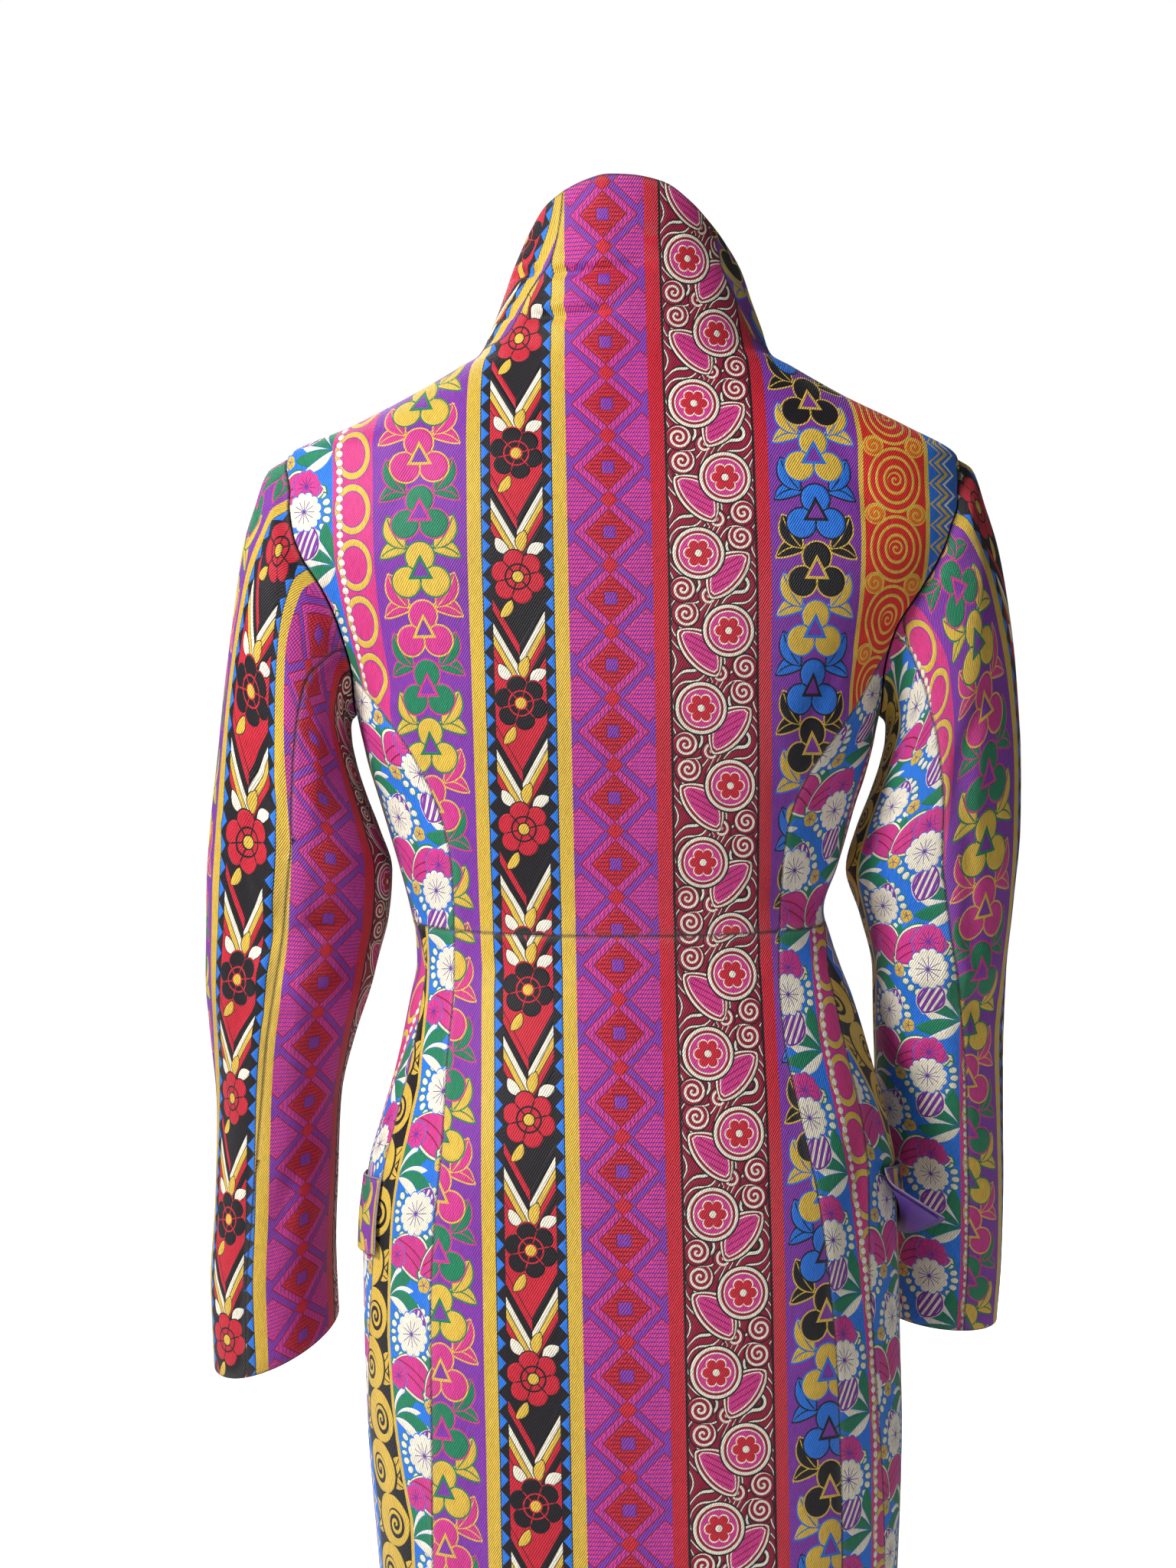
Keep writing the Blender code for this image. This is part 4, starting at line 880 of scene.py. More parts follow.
def worn_lift(points, places, off, creases):
    """How far the cloth stands off its surface: creases, slow waves, and puckers at seams."""
    waves = sum(
        share * sine_wave(points, one) * sine_wave(points, other) for share, one, other in WAVES)
    across, along = places.T
    sway = PUCKER_SWAY * np.sin(along / PUCKER_DRIFT)
    pucker = np.sin(along / PUCKER_PITCH + sway + across / PUCKER_LEAN)
    pucker *= PUCKER_HEIGHT * np.exp(-(off / PUCKER_REACH) ** 2)
    seated = 1 - np.exp(-(off / SEATED_REACH) ** 2)
    return (creases + WAVE_HEIGHT * waves) * seated + pucker * seated ** 0.5


def edge_distance(points, rim):
    """Distance from each point to the nearest edge of its panel."""
    edges = np.array(rim)
    start, end = points[edges[:, 0]], points[edges[:, 1]]
    samples = np.concatenate([start, (start + end) / 2])
    nearest = np.empty(len(points))
    for k in range(0, len(points), BLOCK):
        away = points[k:k + BLOCK, None] - samples[None]
        nearest[k:k + BLOCK] = np.sqrt((away ** 2).sum(-1).min(1))
    return nearest


def band_ends_between(low, high):
    """Where woven bands meet between two places across the cloth."""
    turns = range(math.floor(low / REPEAT), math.floor(high / REPEAT) + 1)
    ends = (end + turn * REPEAT for turn in turns for end in BAND_ENDS)
    return [end for end in ends if low < end < high]


def split_at_bands(points, normals, places, quads):
    """Cuts the panel's faces where bands meet; works on the cloth laid flat."""
    flat = bmesh.new()
    layers = [flat.verts.layers.float_vector.new(name) for name in ("place", "normal")]
    verts = []
    for place, *carried in zip(places, points, normals):
        vert = flat.verts.new((place[0], place[1], 0.0))
        for layer, value in zip(layers, carried):
            vert[layer] = Vector(value)
        verts.append(vert)
    for quad in quads:
        flat.faces.new([verts[k] for k in quad])
    for at in band_ends_between(places[:, 0].min(), places[:, 0].max()):
        bmesh.ops.bisect_plane(
            flat, geom=flat.verts[:] + flat.edges[:] + flat.faces[:], dist=CUT_REACH,
            plane_co=(at, 0.0, 0.0), plane_no=(1.0, 0.0, 0.0))
    flat.verts.index_update()
    points, normals = (np.array([vert[layer][:] for vert in flat.verts]) for layer in layers)
    places = np.array([vert.co[:2] for vert in flat.verts])
    faces = [[vert.index for vert in face.verts] for face in flat.faces]
    flat.free()
    normals = unit(normals)
    return points, normals, places, facing_out(points, normals, faces)


def band_at(across):
    """Number of the band in BANDS at a place across the cloth, and that band's middle."""
    turn = math.floor(across / REPEAT)
    number = int(np.searchsorted(BAND_ENDS, across - turn * REPEAT))
    number = min(number, len(BANDS) - 1)
    return number, float(turn * REPEAT + BAND_ENDS[number] - BAND_WIDTHS[number] / 2)


def inward_ways(points, normals, rim):
    """The way inwards along the surface at each rim point, mitred at corners; 0 elsewhere."""
    ways = {}
    for a, b in rim:
        for point in (a, b):
            across = np.cross(normals[point], points[b] - points[a])
            size = np.linalg.norm(across)
            if size > IN_LINE:
                ways.setdefault(point, []).append(across / size)
    inward = np.zeros_like(points)
    for point, found in ways.items():
        mitre = 1 + (found[0] @ found[-1] if len(found) > 1 else 1.0)
        inward[point] = sum(found) / max(mitre, MITRE_LIMIT)
    return inward


def inward_on_cloth(places, faces, rim):
    """The same ways on the cloth laid flat."""
    flat = np.column_stack([places, np.zeros(len(places))])
    up = np.tile([0.0, 0.0, 1.0], (len(flat), 1))
    return inward_ways(flat, up * np.sign(facing(flat, up, faces)), rim)[:, :2]


def cloth_levels(points, normals, places, faces, rim, wall):
    """Points, cloth places and numbering of each level of a panel, from outside to inside.

    Between the outer face and the inside run rings that round the panel's edge.
    """
    inward = inward_ways(points, normals, rim)
    across = inward_on_cloth(places, faces, rim)
    edge = list(dict.fromkeys(point for ends in rim for point in ends))
    everyone = np.arange(len(points))
    levels = [(points + inward * SEAM_PULL[0], places + across * SEAM_PULL[0], everyone)]
    start = len(points)
    for pull, drop in zip(SEAM_PULL[1:], SEAM_DROP[1:]):
        deep = min(drop, wall * SEAM_DEPTH_SHARE)
        ring = points[edge] + inward[edge] * pull - normals[edge] * deep
        at = np.zeros(len(points), int)
        at[edge] = start + np.arange(len(edge))
        levels.append((ring, places[edge] + across[edge] * pull, at))
        start += len(edge)
    inside = points - normals * wall + inward * SEAM_PULL[0] * INSIDE_PULL_SHARE
    return levels + [(inside, places, start + everyone)]


def panel_skin(name, places, faces, rim, at):
    """Every face of a panel with its material and the middle of its band.

    The numbering of each level is in at. Flaps are piped, and their lining is plain.
    """
    plain = name.startswith("flap_lining")
    piped = name.startswith("flap") and not plain
    skin = []
    owner = {}
    for face in faces:
        number, middle = band_at(places[face, 0].mean())
        look = "lining" if plain else BANDS[number][0]
        skin.append((face, look, middle))
        for edge in zip(face, face[1:] + face[:1]):
            owner[edge] = (look, middle)
    for a, b in rim:
        look, middle = owner[a, b]
        rounded = "piping" if piped else look
        looks_down = [look] + [rounded] * (len(at) - 3) + ["lining"]
        for upper, lower, own in zip(at, at[1:], looks_down):
            skin.append(([upper[b], upper[a], lower[a], lower[b]], own, middle))
    for face in faces:
        skin.append((at[-1][face[::-1]], "lining", 0.0))
    return skin


def panel_mesh(name, vertices, spots, skin, edge):
    """The mesh of a panel: faces with their materials, places on the cloth and edge shade."""
    mesh = bpy.data.meshes.new(name)
    mesh.from_pydata(vertices.tolist(), [], [[int(k) for k in face] for face, _, _ in skin])
    labels = [look for _, look, _ in skin]
    slots = list(dict.fromkeys(labels))
    for label in slots:
        mesh.materials.append(looks()[label])
    mesh.polygons.foreach_set("material_index", [slots.index(label) for label in labels])
    corners = np.concatenate([spots[face] - (middle, 0.0) for face, _, middle in skin])
    mesh.uv_layers.new(name="cloth").uv.foreach_set("vector", corners.astype(np.float32).ravel())
    mesh.attributes.new("edge", "FLOAT", "POINT").data.foreach_set("value", edge.astype(np.float32))
    mesh.shade_smooth()
    mesh.update()
    return mesh


def add_object(name, data):
    """A new object in the scene."""
    made = bpy.data.objects.new(name, data)
    bpy.context.scene.collection.objects.link(made)
    return made


def add_piece(name, mesh, node):
    """A piece of the garment, in the place of the node that it dresses."""
    piece = add_object(name, mesh)
    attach(piece, "root")
    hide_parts(node)
    return piece


def tailor(name, grids, wall):
    """Makes one panel: outer cloth split into bands, rounded edges and a lined inside."""
    points, normals, places, quads = join_grids(grids)
    quads = facing_out(points, normals, quads)
    points, normals, places, faces = split_at_bands(points, normals, places, quads)
    rim = rim_edges(faces)
    off = edge_distance(points, rim)
    creases = creased(points, normals)
    points = points + normals * worn_lift(points, places, off, creases)[:, None]
    vertices, spots, at = zip(*cloth_levels(points, normals, places, faces, rim, wall))
    vertices = np.concatenate(vertices)
    skin = panel_skin(name, places, faces, rim, at)
    edge_and_crease_shade = np.zeros(len(vertices))
    edge_and_crease_shade[at[-1]] = np.clip(off, 0, EDGE_REACH) / EDGE_REACH
    # Painted shade in creases: where a crease is deep the outer face's edge value drops, so the weave
    # paints it dark as at a seam, with a little rubbed colour
    pressed = np.clip(-creases / CREASE_DARK, 0, 1) ** 3
    edge_and_crease_shade[at[0]] = np.minimum(edge_and_crease_shade[at[-1]], 1 - CREASE_SHADE * pressed)
    mesh = panel_mesh(name, vertices, np.concatenate(spots), skin, edge_and_crease_shade)
    piece = add_piece(f"cloth_{name}", mesh, name)
    return piece


def shares(*lines):
    """Mean share of the way along several lines of equal count, from 0 to 1."""
    runs = [run_on_body(line) for line in lines]
    return sum(run / run[-1] for run in runs) / len(runs)


def waist_line(first, last, share):
    """(theta, z) along the waist seam between two angles."""
    theta = first + (last - first) * share
    return paired(theta, waist_z(theta))


def column_shares(top, middle):
    """Where a panel's columns stand, as shares of the width of its top line."""
    across = flattened(top, middle)[:, 0]
    return (across - across[0]) / (across[-1] - across[0])


def back_top_line():
    """(theta, z) over the left shoulder, across the neck and down the right shoulder."""
    left = shoulder_seam("left")
    right = shoulder_seam("right")[::-1]
    return np.concatenate([left[:-1], back_neck_line(), right[1:]])


def back_neck_line():
    """(theta, z) across the back between the neck points, where the collar grows on."""
    theta = np.linspace(90.0, -90.0, NECK_SAMPLES)
    z = NECK_POINT_Z - BACK_NECK_DIP * np.sqrt(1 - (theta / 90.0) ** 2)
    return even_on_body(paired(theta, z), COLLAR_COLUMNS)


def make_back_bodice():
    """The back between the princess seams, with the collar's back grown on."""
    edges = {}
    for side in SIGN:
        seam = princess_bodice(side)[::-1]
        phis = np.arange(PRINCESS_JOINS_ARMHOLE[side], 90 + 1, ARMHOLE_STEP)
        edges[side] = np.concatenate([seam, armhole(phis, side)[1:]])
    left, right = edges["left"], edges["right"]
    top = back_top_line()
    s = column_shares(top, BACK_MIDDLE)
    bottom = waist_line(left[0, 0], right[0, 0], s)
    body = coons(bottom, top, left, right, s, shares(left, right), BACK_MIDDLE)
    neck = back_neck_line()
    left, right = collar_seam("left"), collar_seam("right")
    edge = paired(back_theta(COLLAR_TOP["x"], COLLAR_TOP["z"]), COLLAR_TOP["z"])
    edge[0] = left[-1]
    edge[-1] = right[-1]
    edge = even_on_body(edge, COLLAR_COLUMNS)
    s = column_shares(neck, BACK_MIDDLE)
    collar = coons(neck, edge, left, right, s, shares(left, right), BACK_MIDDLE)
    return torso_panel("back_bodice", [body, collar])


def shoulder_seam(side):
    """(theta, z) from the shoulder tip to the neck point."""
    z = np.linspace(SHOULDER_TIP_Z, NECK_POINT_Z, SHOULDER_COLUMNS + 1)
    return paired(np.full_like(z, SIGN[side] * 90.0), z)


def collar_seam(side):
    """(theta, z) up the collar seam from the neck point."""
    seam = COLLAR_SEAM[side]
    theta = back_theta(SIGN[side] * seam["x"], seam["z"])
    theta[0] = SIGN[side] * 90.0
    return even_on_body(paired(theta, seam["z"]), COLLAR_ROWS)


def side_phis(side):
    """Armhole angles from the side seam to the princess seam."""
    return np.arange(-90, PRINCESS_JOINS_ARMHOLE[side] + 1, ARMHOLE_STEP)


def make_side_back_bodice(side):
    """The bodice between the princess seam and the side seam."""
    right = princess_bodice(side)[::-1]
    left = side_seam_bodice(side)[::-1]
    top = armhole(side_phis(side), side)
    s = np.linspace(0.0, 1.0, len(top))
    bottom = waist_line(left[0, 0], right[0, 0], s)
    grid = coons(bottom, top, left, right, s, shares(left, right), BACK_MIDDLE)
    return torso_panel(f"side_back_bodice_{side}", [grid])


def front_lift(side, theta, z):
    """How far a front stands off the body: the right one lies over the left."""
    if side == "left":
        return np.zeros_like(theta)
    x = torso(theta, z)[..., 0]
    front = np.cos(np.radians(theta)) < 0
    full = FRONT_OVERLAP + OVERLAP_MARGIN
    ramp = np.clip((x + full + OVERLAP_RAMP) / OVERLAP_RAMP, 0.0, 1.0)
    return np.where(front, OVERLAP_LIFT * ramp * ramp * (3 - 2 * ramp), 0.0)


def neck_edge(side, low, high, count):
    """(theta, z) along the neck edge between two heights, evenly spaced."""
    edge = NECK_EDGE[side]
    theta = edge["theta"].copy()
    theta[0] = abs(front_edge_theta(side, edge["z"][0]))
    theta[-1] = abs(collar_seam(side)[-1, 0])
    z = np.linspace(low, high, NECK_EDGE_SAMPLES * count)
    return even_on_body(paired(SIGN[side] * smooth(z, edge["z"], theta), z), count)


def front_neck_line(side):
    """(theta, z) across the front's grid from the neck point to the neck edge."""
    end = neck_edge(side, NECK_POINT_Z, COLLAR_CORNER_Z[side], COLLAR_ROWS)[0]
    share = np.linspace(0.0, 1.0, NECK_COLUMNS + 1)
    theta = SIGN[side] * 90.0 + (end[0] - SIGN[side] * 90.0) * share
    return paired(theta, np.full_like(theta, NECK_POINT_Z))


def front_top_line(side):
    """(theta, z) up the shoulder seam and across to the neck edge."""
    return np.concatenate([shoulder_seam(side), front_neck_line(side)[1:]])


def front_column_shares(side):
    """Where a front's columns stand, in the bodice and in the skirt below it."""
    return column_shares(front_top_line(side), SIGN[side] * FRONT_MIDDLE)


def make_front_bodice(side):
    """A front with its grown-on collar, from side seam and armhole to the free edge."""
    middle = SIGN[side] * FRONT_MIDDLE
    upward = armhole(np.arange(-90, -270 - 1, -ARMHOLE_STEP), side)
    left = np.concatenate([side_seam_bodice(side)[::-1], upward[1:]])
    neck = front_neck_line(side)
    top = front_top_line(side)
    corner_z = NECK_EDGE[side]["z"][0]
    closure_z = np.append(left[left[:, 1] < corner_z, 1], corner_z)
    closure_z[0] = waist_z(FRONT_MIDDLE)
    closure = paired(front_edge_theta(side, closure_z), closure_z)
    opening = neck_edge(side, corner_z, NECK_POINT_Z, len(left) - len(closure))
    right = np.concatenate([closure, opening[1:]])
    s = front_column_shares(side)
    bottom = waist_line(left[0, 0], right[0, 0], s)
    body = coons(bottom, top, left, right, s, shares(left, right), middle)
    seam = collar_seam(side)
    edge = neck_edge(side, NECK_POINT_Z, COLLAR_CORNER_Z[side], COLLAR_ROWS)
    over = neck_edge(side, COLLAR_CORNER_Z[side], NECK_EDGE[side]["z"][-1], NECK_COLUMNS)[::-1]
    collar = coons(neck, over, seam, edge, column_shares(neck, middle), shares(seam, edge), middle)
    return torso_panel(f"front_bodice_{side}", [body, collar], side)


def skirt_seam(theta_at):
    """(theta, z) down a skirt seam from waist to hem."""
    _, top = waist_corner(theta_at)
    share = np.linspace(0.0, 1.0, SKIRT_ROWS + 1) ** SKIRT_ROW_GROWTH
    z = top + (HEM_Z - top) * share
    return paired(theta_at(z), z)


def skirt_panel(name, first, last, share, side=None):
    """A skirt panel between two seams, each a list of (theta, z) from waist to hem."""
    across = share[None, :, None]
    grid = first[:, None] * (1 - across) + last[:, None] * across
    theta = grid[..., 0]
    fall = (grid[..., 1] - HEM_Z) / (grid[:1, :, 1] - HEM_Z)
    z = HEM_Z + (waist_z(theta) - HEM_Z) * fall
    return torso_panel(name, [paired(theta, z)], side)


def skirt_side_theta(side, z):
    """Angle of the skirt's side seam at heights z."""
    return SIGN[side] * smooth(z, SKIRT_SIDE["z"], SKIRT_SIDE[side])


def make_skirt():
    """The five skirt panels below the waist seam."""
    princess = {side: skirt_seam(partial(princess_theta, side)) for side in SIGN}
    skirt_panel("back_skirt", princess["left"], princess["right"],
                column_shares(back_top_line(), BACK_MIDDLE))
    for side in SIGN:
        outseam = skirt_seam(partial(skirt_side_theta, side))
        edge = skirt_seam(partial(front_edge_theta, side))
        across = np.linspace(0.0, 1.0, len(side_phis(side)))
        skirt_panel(f"side_skirt_{side}", outseam, princess[side], across)
        skirt_panel(f"front_skirt_{side}", outseam, edge, front_column_shares(side), side)


def sleeve_fold(side, phi, t):
    """Height of the broad folds of a sleeve."""
    height = np.zeros(np.broadcast(phi, t).shape)
    for fold in SLEEVE_FOLDS[side]:
        along = (t - fold["t"]) / fold["run"]
        turn = phi - fold["phi"] - fold["drift"] * (t - fold["t"])
        turn = (turn + 180.0) % 360.0 - 180.0
        height += fold["height"] * np.exp(-along ** 2 - (turn / fold["spread"]) ** 2)
    return height


def sleeve_section(side, phi, t):
    """Points of the sleeve's plain ellipses, with its folds."""
    sine = np.sin(np.radians(phi))
    cosine = np.cos(np.radians(phi))
    sections = SLEEVE[side]
    row = {name: smooth(t, sections["t"], sections[name]) for name in sections.dtype.names[1:]}
    mid_x = (row["out_x"] + row["in_x"]) / 2
    mid_z = (row["out_z"] + row["in_z"]) / 2
    half_x = (row["out_x"] - row["in_x"]) / 2
    half_z = (row["out_z"] - row["in_z"]) / 2
    fold = sleeve_fold(side, phi, t)
    x = mid_x + (half_x + fold) * sine
    y = row["y"] + (row["depth"] + fold) * cosine
    z = mid_z + half_z * sine - row["dip"] * cosine
    return paired(SIGN[side] * x, y, z)


def sleeve(side, phi, t):
    """Points of a sleeve surface at angles phi and positions t, armhole 0 to cuff 1.

    At its head the armhole's shape takes the place of the ellipse.
    """
    phi, t = np.broadcast_arrays(np.asarray(phi, float), np.asarray(t, float))
    ring = armhole(phi, side)
    hole = torso(ring[..., 0], ring[..., 1])
    head = sleeve_section(side, phi, np.zeros_like(t))
    share = np.clip(1 - t / ARMHOLE_BLEND_END, 0.0, 1.0)
    share = share * share * (3 - 2 * share)
    clear = np.array([SIGN[side] * ARMHOLE_CLEARANCE, 0.0, 0.0])
    return sleeve_section(side, phi, t) + (hole - head + clear) * share[..., None]


def sleeve_normal(side, phi, t):
    """Outward unit normals of a sleeve surface, by small steps each way."""
    turn = 1.5
    step = 0.006
    du = sleeve(side, phi + turn, t) - sleeve(side, phi - turn, t)
    dt = sleeve(side, phi, np.minimum(t + step, 1.0)) - sleeve(side, phi, np.maximum(t - step, 0.0))
    return unit(np.cross(du, dt) * SIGN[side])


def make_sleeve(side):
    """Top sleeve and undersleeve, split along the back and front sleeve seams."""
    t = SLEEVE_ROWS
    back = smooth(t, SLEEVE_SEAMS["t"], SLEEVE_SEAMS[side])
    front = smooth(t, SLEEVE_SEAMS["t"], SLEEVE_SEAMS["front"])
    spans = {
        "top_sleeve": (back, front + 360.0),
        "under_sleeve": (front, back),
    }
    for name, (start, end) in spans.items():
        steps = int(round((end[0] - start[0]) / ARMHOLE_STEP))
        share = np.linspace(0.0, 1.0, steps + 1)
        phi = start[:, None] + (end - start)[:, None] * share[None, :]
        rows = np.broadcast_to(t[:, None], phi.shape)
        points = sleeve(side, phi, rows)
        normals = sleeve_normal(side, phi, rows)
        places = sleeve_cloth(f"{name}_{side}", side, phi, rows)
        tailor(f"{name}_{side}", [(points, normals, places)], WALL)


def grid_normals(points, towards):
    """Unit normals of a grid of points, on the side that towards names."""
    return unit(np.cross(np.gradient(points, axis=1), np.gradient(points, axis=0)), towards)


def fold_corner(along, down, width):
    """Flat flap points with the back corner folded out: new places and heights."""
    line = unit(np.array([CORNER_FOLD_END * width, FLAP_DEPTH]))
    across = np.array([-line[1], line[0]])
    reach = np.maximum(along * across[0] + down * across[1], 0.0)
    turn = math.radians(CORNER_FOLD_DEGREES)
    bent = np.minimum(reach / CORNER_FOLD_RADIUS, turn)
    straight = reach - bent * CORNER_FOLD_RADIUS
    level = CORNER_FOLD_RADIUS * np.sin(bent) + straight * math.cos(turn)
    height = CORNER_FOLD_RADIUS * (1 - np.cos(bent)) + straight * math.sin(turn)
    moved = level - reach
    return along + across[0] * moved, down + across[1] * moved, height


def flap_surface(side, stand):
    """Outer points, normals and cloth places of a flap, from the hip's points moved out."""
    span = FLAP_FRONT_THETA - FLAP_BACK_THETA
    hinge_theta = FLAP_BACK_THETA + span * FLAP_ACROSS
    width = run_along(torso(SIGN[side] * hinge_theta, FLAP_Z[side]))[-1]
    along, down = np.meshgrid(FLAP_ACROSS * width, FLAP_DOWN * FLAP_DEPTH)
    places = cut_from_cloth(f"flap_{side}", along, -down)
    height = FLAP_STAND_OFF * down / FLAP_DEPTH
    if side == "right":
        along, down, folded = fold_corner(along, down, width)
        height = height + folded
    theta = SIGN[side] * (FLAP_BACK_THETA + span * along / width)
    z = FLAP_Z[side] - FLAP_SLOPE * along / width - down
    out = torso_normal(theta, z)
    points = torso(theta, z) + out * (stand + height)[..., None]
    normals = grid_normals(points, out)
    return points, normals, places


def make_flaps():
    """Both hip flaps, and the lining that shows under the lifted one."""
    stands = {
        "left": FLAP_STAND + FLAP_WALL,
        "right": FLAP_STAND + LINING_WALL + LINING_GAP + FLAP_WALL,
    }
    for side, stand in stands.items():
        tailor(f"flap_{side}", [flap_surface(side, stand)], FLAP_WALL)
    points, normals, places = flap_surface("right", stands["right"])
    inner = points - normals * (FLAP_WALL + LINING_GAP)
    inset = (slice(0, -FINE), slice(FINE, -FINE))
    tailor("flap_lining_right", [(inner[inset], normals[inset], places[inset])], LINING_WALL)


def button_profile():
    """(radius, height) of a domed shank button, from the shank's foot to the dome's top."""
    low = SHANK_HEIGHT
    bend = np.radians(LIP_BEND)
    lip_radius = BUTTON_RADIUS * LIP_MIDDLE + LIP_RADIUS * np.cos(bend)
    lip_height = low + BUTTON_HEIGHT * LIP_LEVEL + LIP_RADIUS * np.sin(bend)
    dome = np.cos(DISH * DOME_CURVE) * (1 - DOME_FALL * DISH ** 2)
    dish_height = low + BUTTON_HEIGHT * (DISH_LEVEL + DOME_RISE * dome)
    shank = [(SHANK_RADIUS, 0.0), (SHANK_RADIUS * SHANK_WAIST, low / 2), (SHANK_RADIUS, low * SHANK_TOP)]
    under = [(BUTTON_RADIUS * UNDER_RADIUS, low + BUTTON_HEIGHT * UNDER_LEVEL)]
    lip = list(zip(lip_radius, lip_height))
    return shank + under + lip + list(zip(DISH * BUTTON_RADIUS, dish_height))


def make_button(number, z, material):
    """One shank button standing on the right front at the centre line."""
    theta = np.array(-FRONT_MIDDLE)
    normal = torso_normal(theta, np.array(z))
    lift = float(front_lift("right", theta, np.array(z)))
    foot = torso(theta, z) + normal * (lift + SEAM_GAP + BUTTON_CLEARANCE)
    side_way = unit(np.cross((0.0, 0.0, 1.0), normal))
    up_way = np.cross(normal, side_way)
    profile = button_profile()
    points = [foot + normal * profile[0][1]]
    for radius, height in profile[:-1]:
        for turn in 2 * math.pi * np.arange(BUTTON_SIDES) / BUTTON_SIDES:
            out = side_way * math.cos(turn) + up_way * math.sin(turn)
            points.append(foot + out * radius + normal * height)
    points.append(foot + normal * profile[-1][1])
    top = len(points) - 1
    last = top - BUTTON_SIDES
    faces = []
    for k in range(BUTTON_SIDES):
        after = (k + 1) % BUTTON_SIDES
        faces.append((0, 1 + k, 1 + after))
        for a in range(1, last, BUTTON_SIDES):
            b = a + BUTTON_SIDES
            faces.append((a + after, a + k, b + k, b + after))
        faces.append((last + after, last + k, top))
    mesh = bpy.data.meshes.new(f"button_dome_{number}")
    mesh.from_pydata([tuple(map(float, point)) for point in points], [], faces)
    mesh.materials.append(material)
    mesh.shade_smooth()
    return add_piece(f"button_dome_{number}", mesh, f"button_{number}")


def plug(tree, value, socket):
    """Links a Term or a socket to another socket, or sets a number or an RGB colour there."""
    value = value.value if isinstance(value, Term) else value
    if isinstance(value, bpy.types.NodeSocket):
        tree.links.new(value, socket)
    else:
        socket.default_value = (*value[:3], 1.0) if hasattr(value, "__len__") else value


def add_node(tree, kind, inputs, **settings):
    """A new node with its settings, and with its inputs given by name or number."""
    node = tree.nodes.new(f"ShaderNode{kind}")
    for name, value in settings.items():
        setattr(node, name, value)
    for label, value in inputs.items():
        plug(tree, value, node.inputs[label])
    return node


class Term:
    """A number in a node tree, so that formulas can be written as sums and products."""

    def __init__(self, tree, value):
        self.tree = tree
        self.value = value

    def math(self, operation, *others):
        terms = dict(enumerate((self,) + others))
        return Term(self.tree, add_node(self.tree, "Math", terms, operation=operation).outputs[0])

    __add__ = __radd__ = partialmethod(math, "ADD")
    __mul__ = __rmul__ = partialmethod(math, "MULTIPLY")
    __sub__ = partialmethod(math, "SUBTRACT")
    __truediv__ = partialmethod(math, "DIVIDE")
    __neg__ = partialmethod(math, "MULTIPLY", -1.0)
    __abs__ = partialmethod(math, "ABSOLUTE")
    sin = partialmethod(math, "SINE")
    cos = partialmethod(math, "COSINE")
    root = partialmethod(math, "SQRT")
    larger = partialmethod(math, "MAXIMUM")
    smaller = partialmethod(math, "MINIMUM")

    def __rsub__(self, other):
        return Term(self.tree, other) - self

    def wrapped(self, low, high):
        return self.math("WRAP", high, low)

    def blend(self, start, end, low=0.0, high=1.0):
        """Smooth step from low at start to high at end."""
        inputs = {"Value": self, "From Min": start, "From Max": end, "To Min": low, "To Max": high}
        node = add_node(self.tree, "MapRange", inputs, interpolation_type="SMOOTHSTEP")
        return Term(self.tree, node.outputs["Result"])


def radial(x, y):
    """Distance from the place where x and y are 0."""
    return (x * x + y * y).root()


def diamond(x, y, half_x, half_y, steep):
    """Distance to a diamond's edge, below zero inside."""
    return (abs(x) / half_x + abs(y) / half_y - 1.0) * steep


# How soft the edge of a patch of thread is, and where its crown rises, in millimetres
PATCH_BLUR = 0.14
PATCH_CROWN = (0.15, -1.1)

# Scale and detail of the yarn's unevenness, close to and over a hand's breadth
FINE_NOISE = (1.0, 1.0)
BROAD_NOISE = (0.06, 2.0)

# Slant of the twill, as the sine and cosine of its angle
TWILL_ACROSS = 0.848
TWILL_ALONG = 0.53

# Shade in a seam or a crease, and the rubbed colour beside it, as shares of the edge's reach
SEAM_SHADE = 0.55
SEAM_SHADE_REACH = 0.1
WORN_REACH = 0.5
WORN_COLOUR = (0.62, 0.58, 0.55)

# Roughness, rib and rib depth of plain satin
SATIN = (0.4, 0.9, 0.1)


def mix_colours(tree, share, below, above):
    """Mix of two colours, each a socket or an RGB triple; share is a Term or number."""
    return add_node(tree, "Mix", {0: share, 6: below, 7: above}, data_type="RGBA").outputs[2]


def noise_of(tree, place, dimensions, **inputs):
    """Noise over a place, from 0 to 1."""
    settings = {"noise_dimensions": dimensions}
    return add_node(tree, "TexNoise", {**inputs, "Vector": place}, **settings).outputs[0]


def new_group(name, defaults, results):
    """An empty shader group; an input whose default is a triple is a colour."""
    group = bpy.data.node_groups.new(name, "ShaderNodeTree")
    for label, default in defaults.items():
        colour = isinstance(default, tuple)
        kind = "NodeSocketColor" if colour else "NodeSocketFloat"
        socket = group.interface.new_socket(label, in_out="INPUT", socket_type=kind)
        socket.default_value = (*default, 1.0) if colour else default
    for label in results:
        kind = "NodeSocketColor" if label == "Colour" else "NodeSocketFloat"
        group.interface.new_socket(label, in_out="OUTPUT", socket_type=kind)
    enter = group.nodes.new("NodeGroupInput")
    leave = group.nodes.new("NodeGroupOutput")
    given = {label: Term(group, enter.outputs[label]) for label in defaults}
    return group, given, leave


def send(group, leave, **results):
    """Links results to a group's outputs by name."""
    for label, value in results.items():
        plug(group, value, leave.inputs[label])
    return group


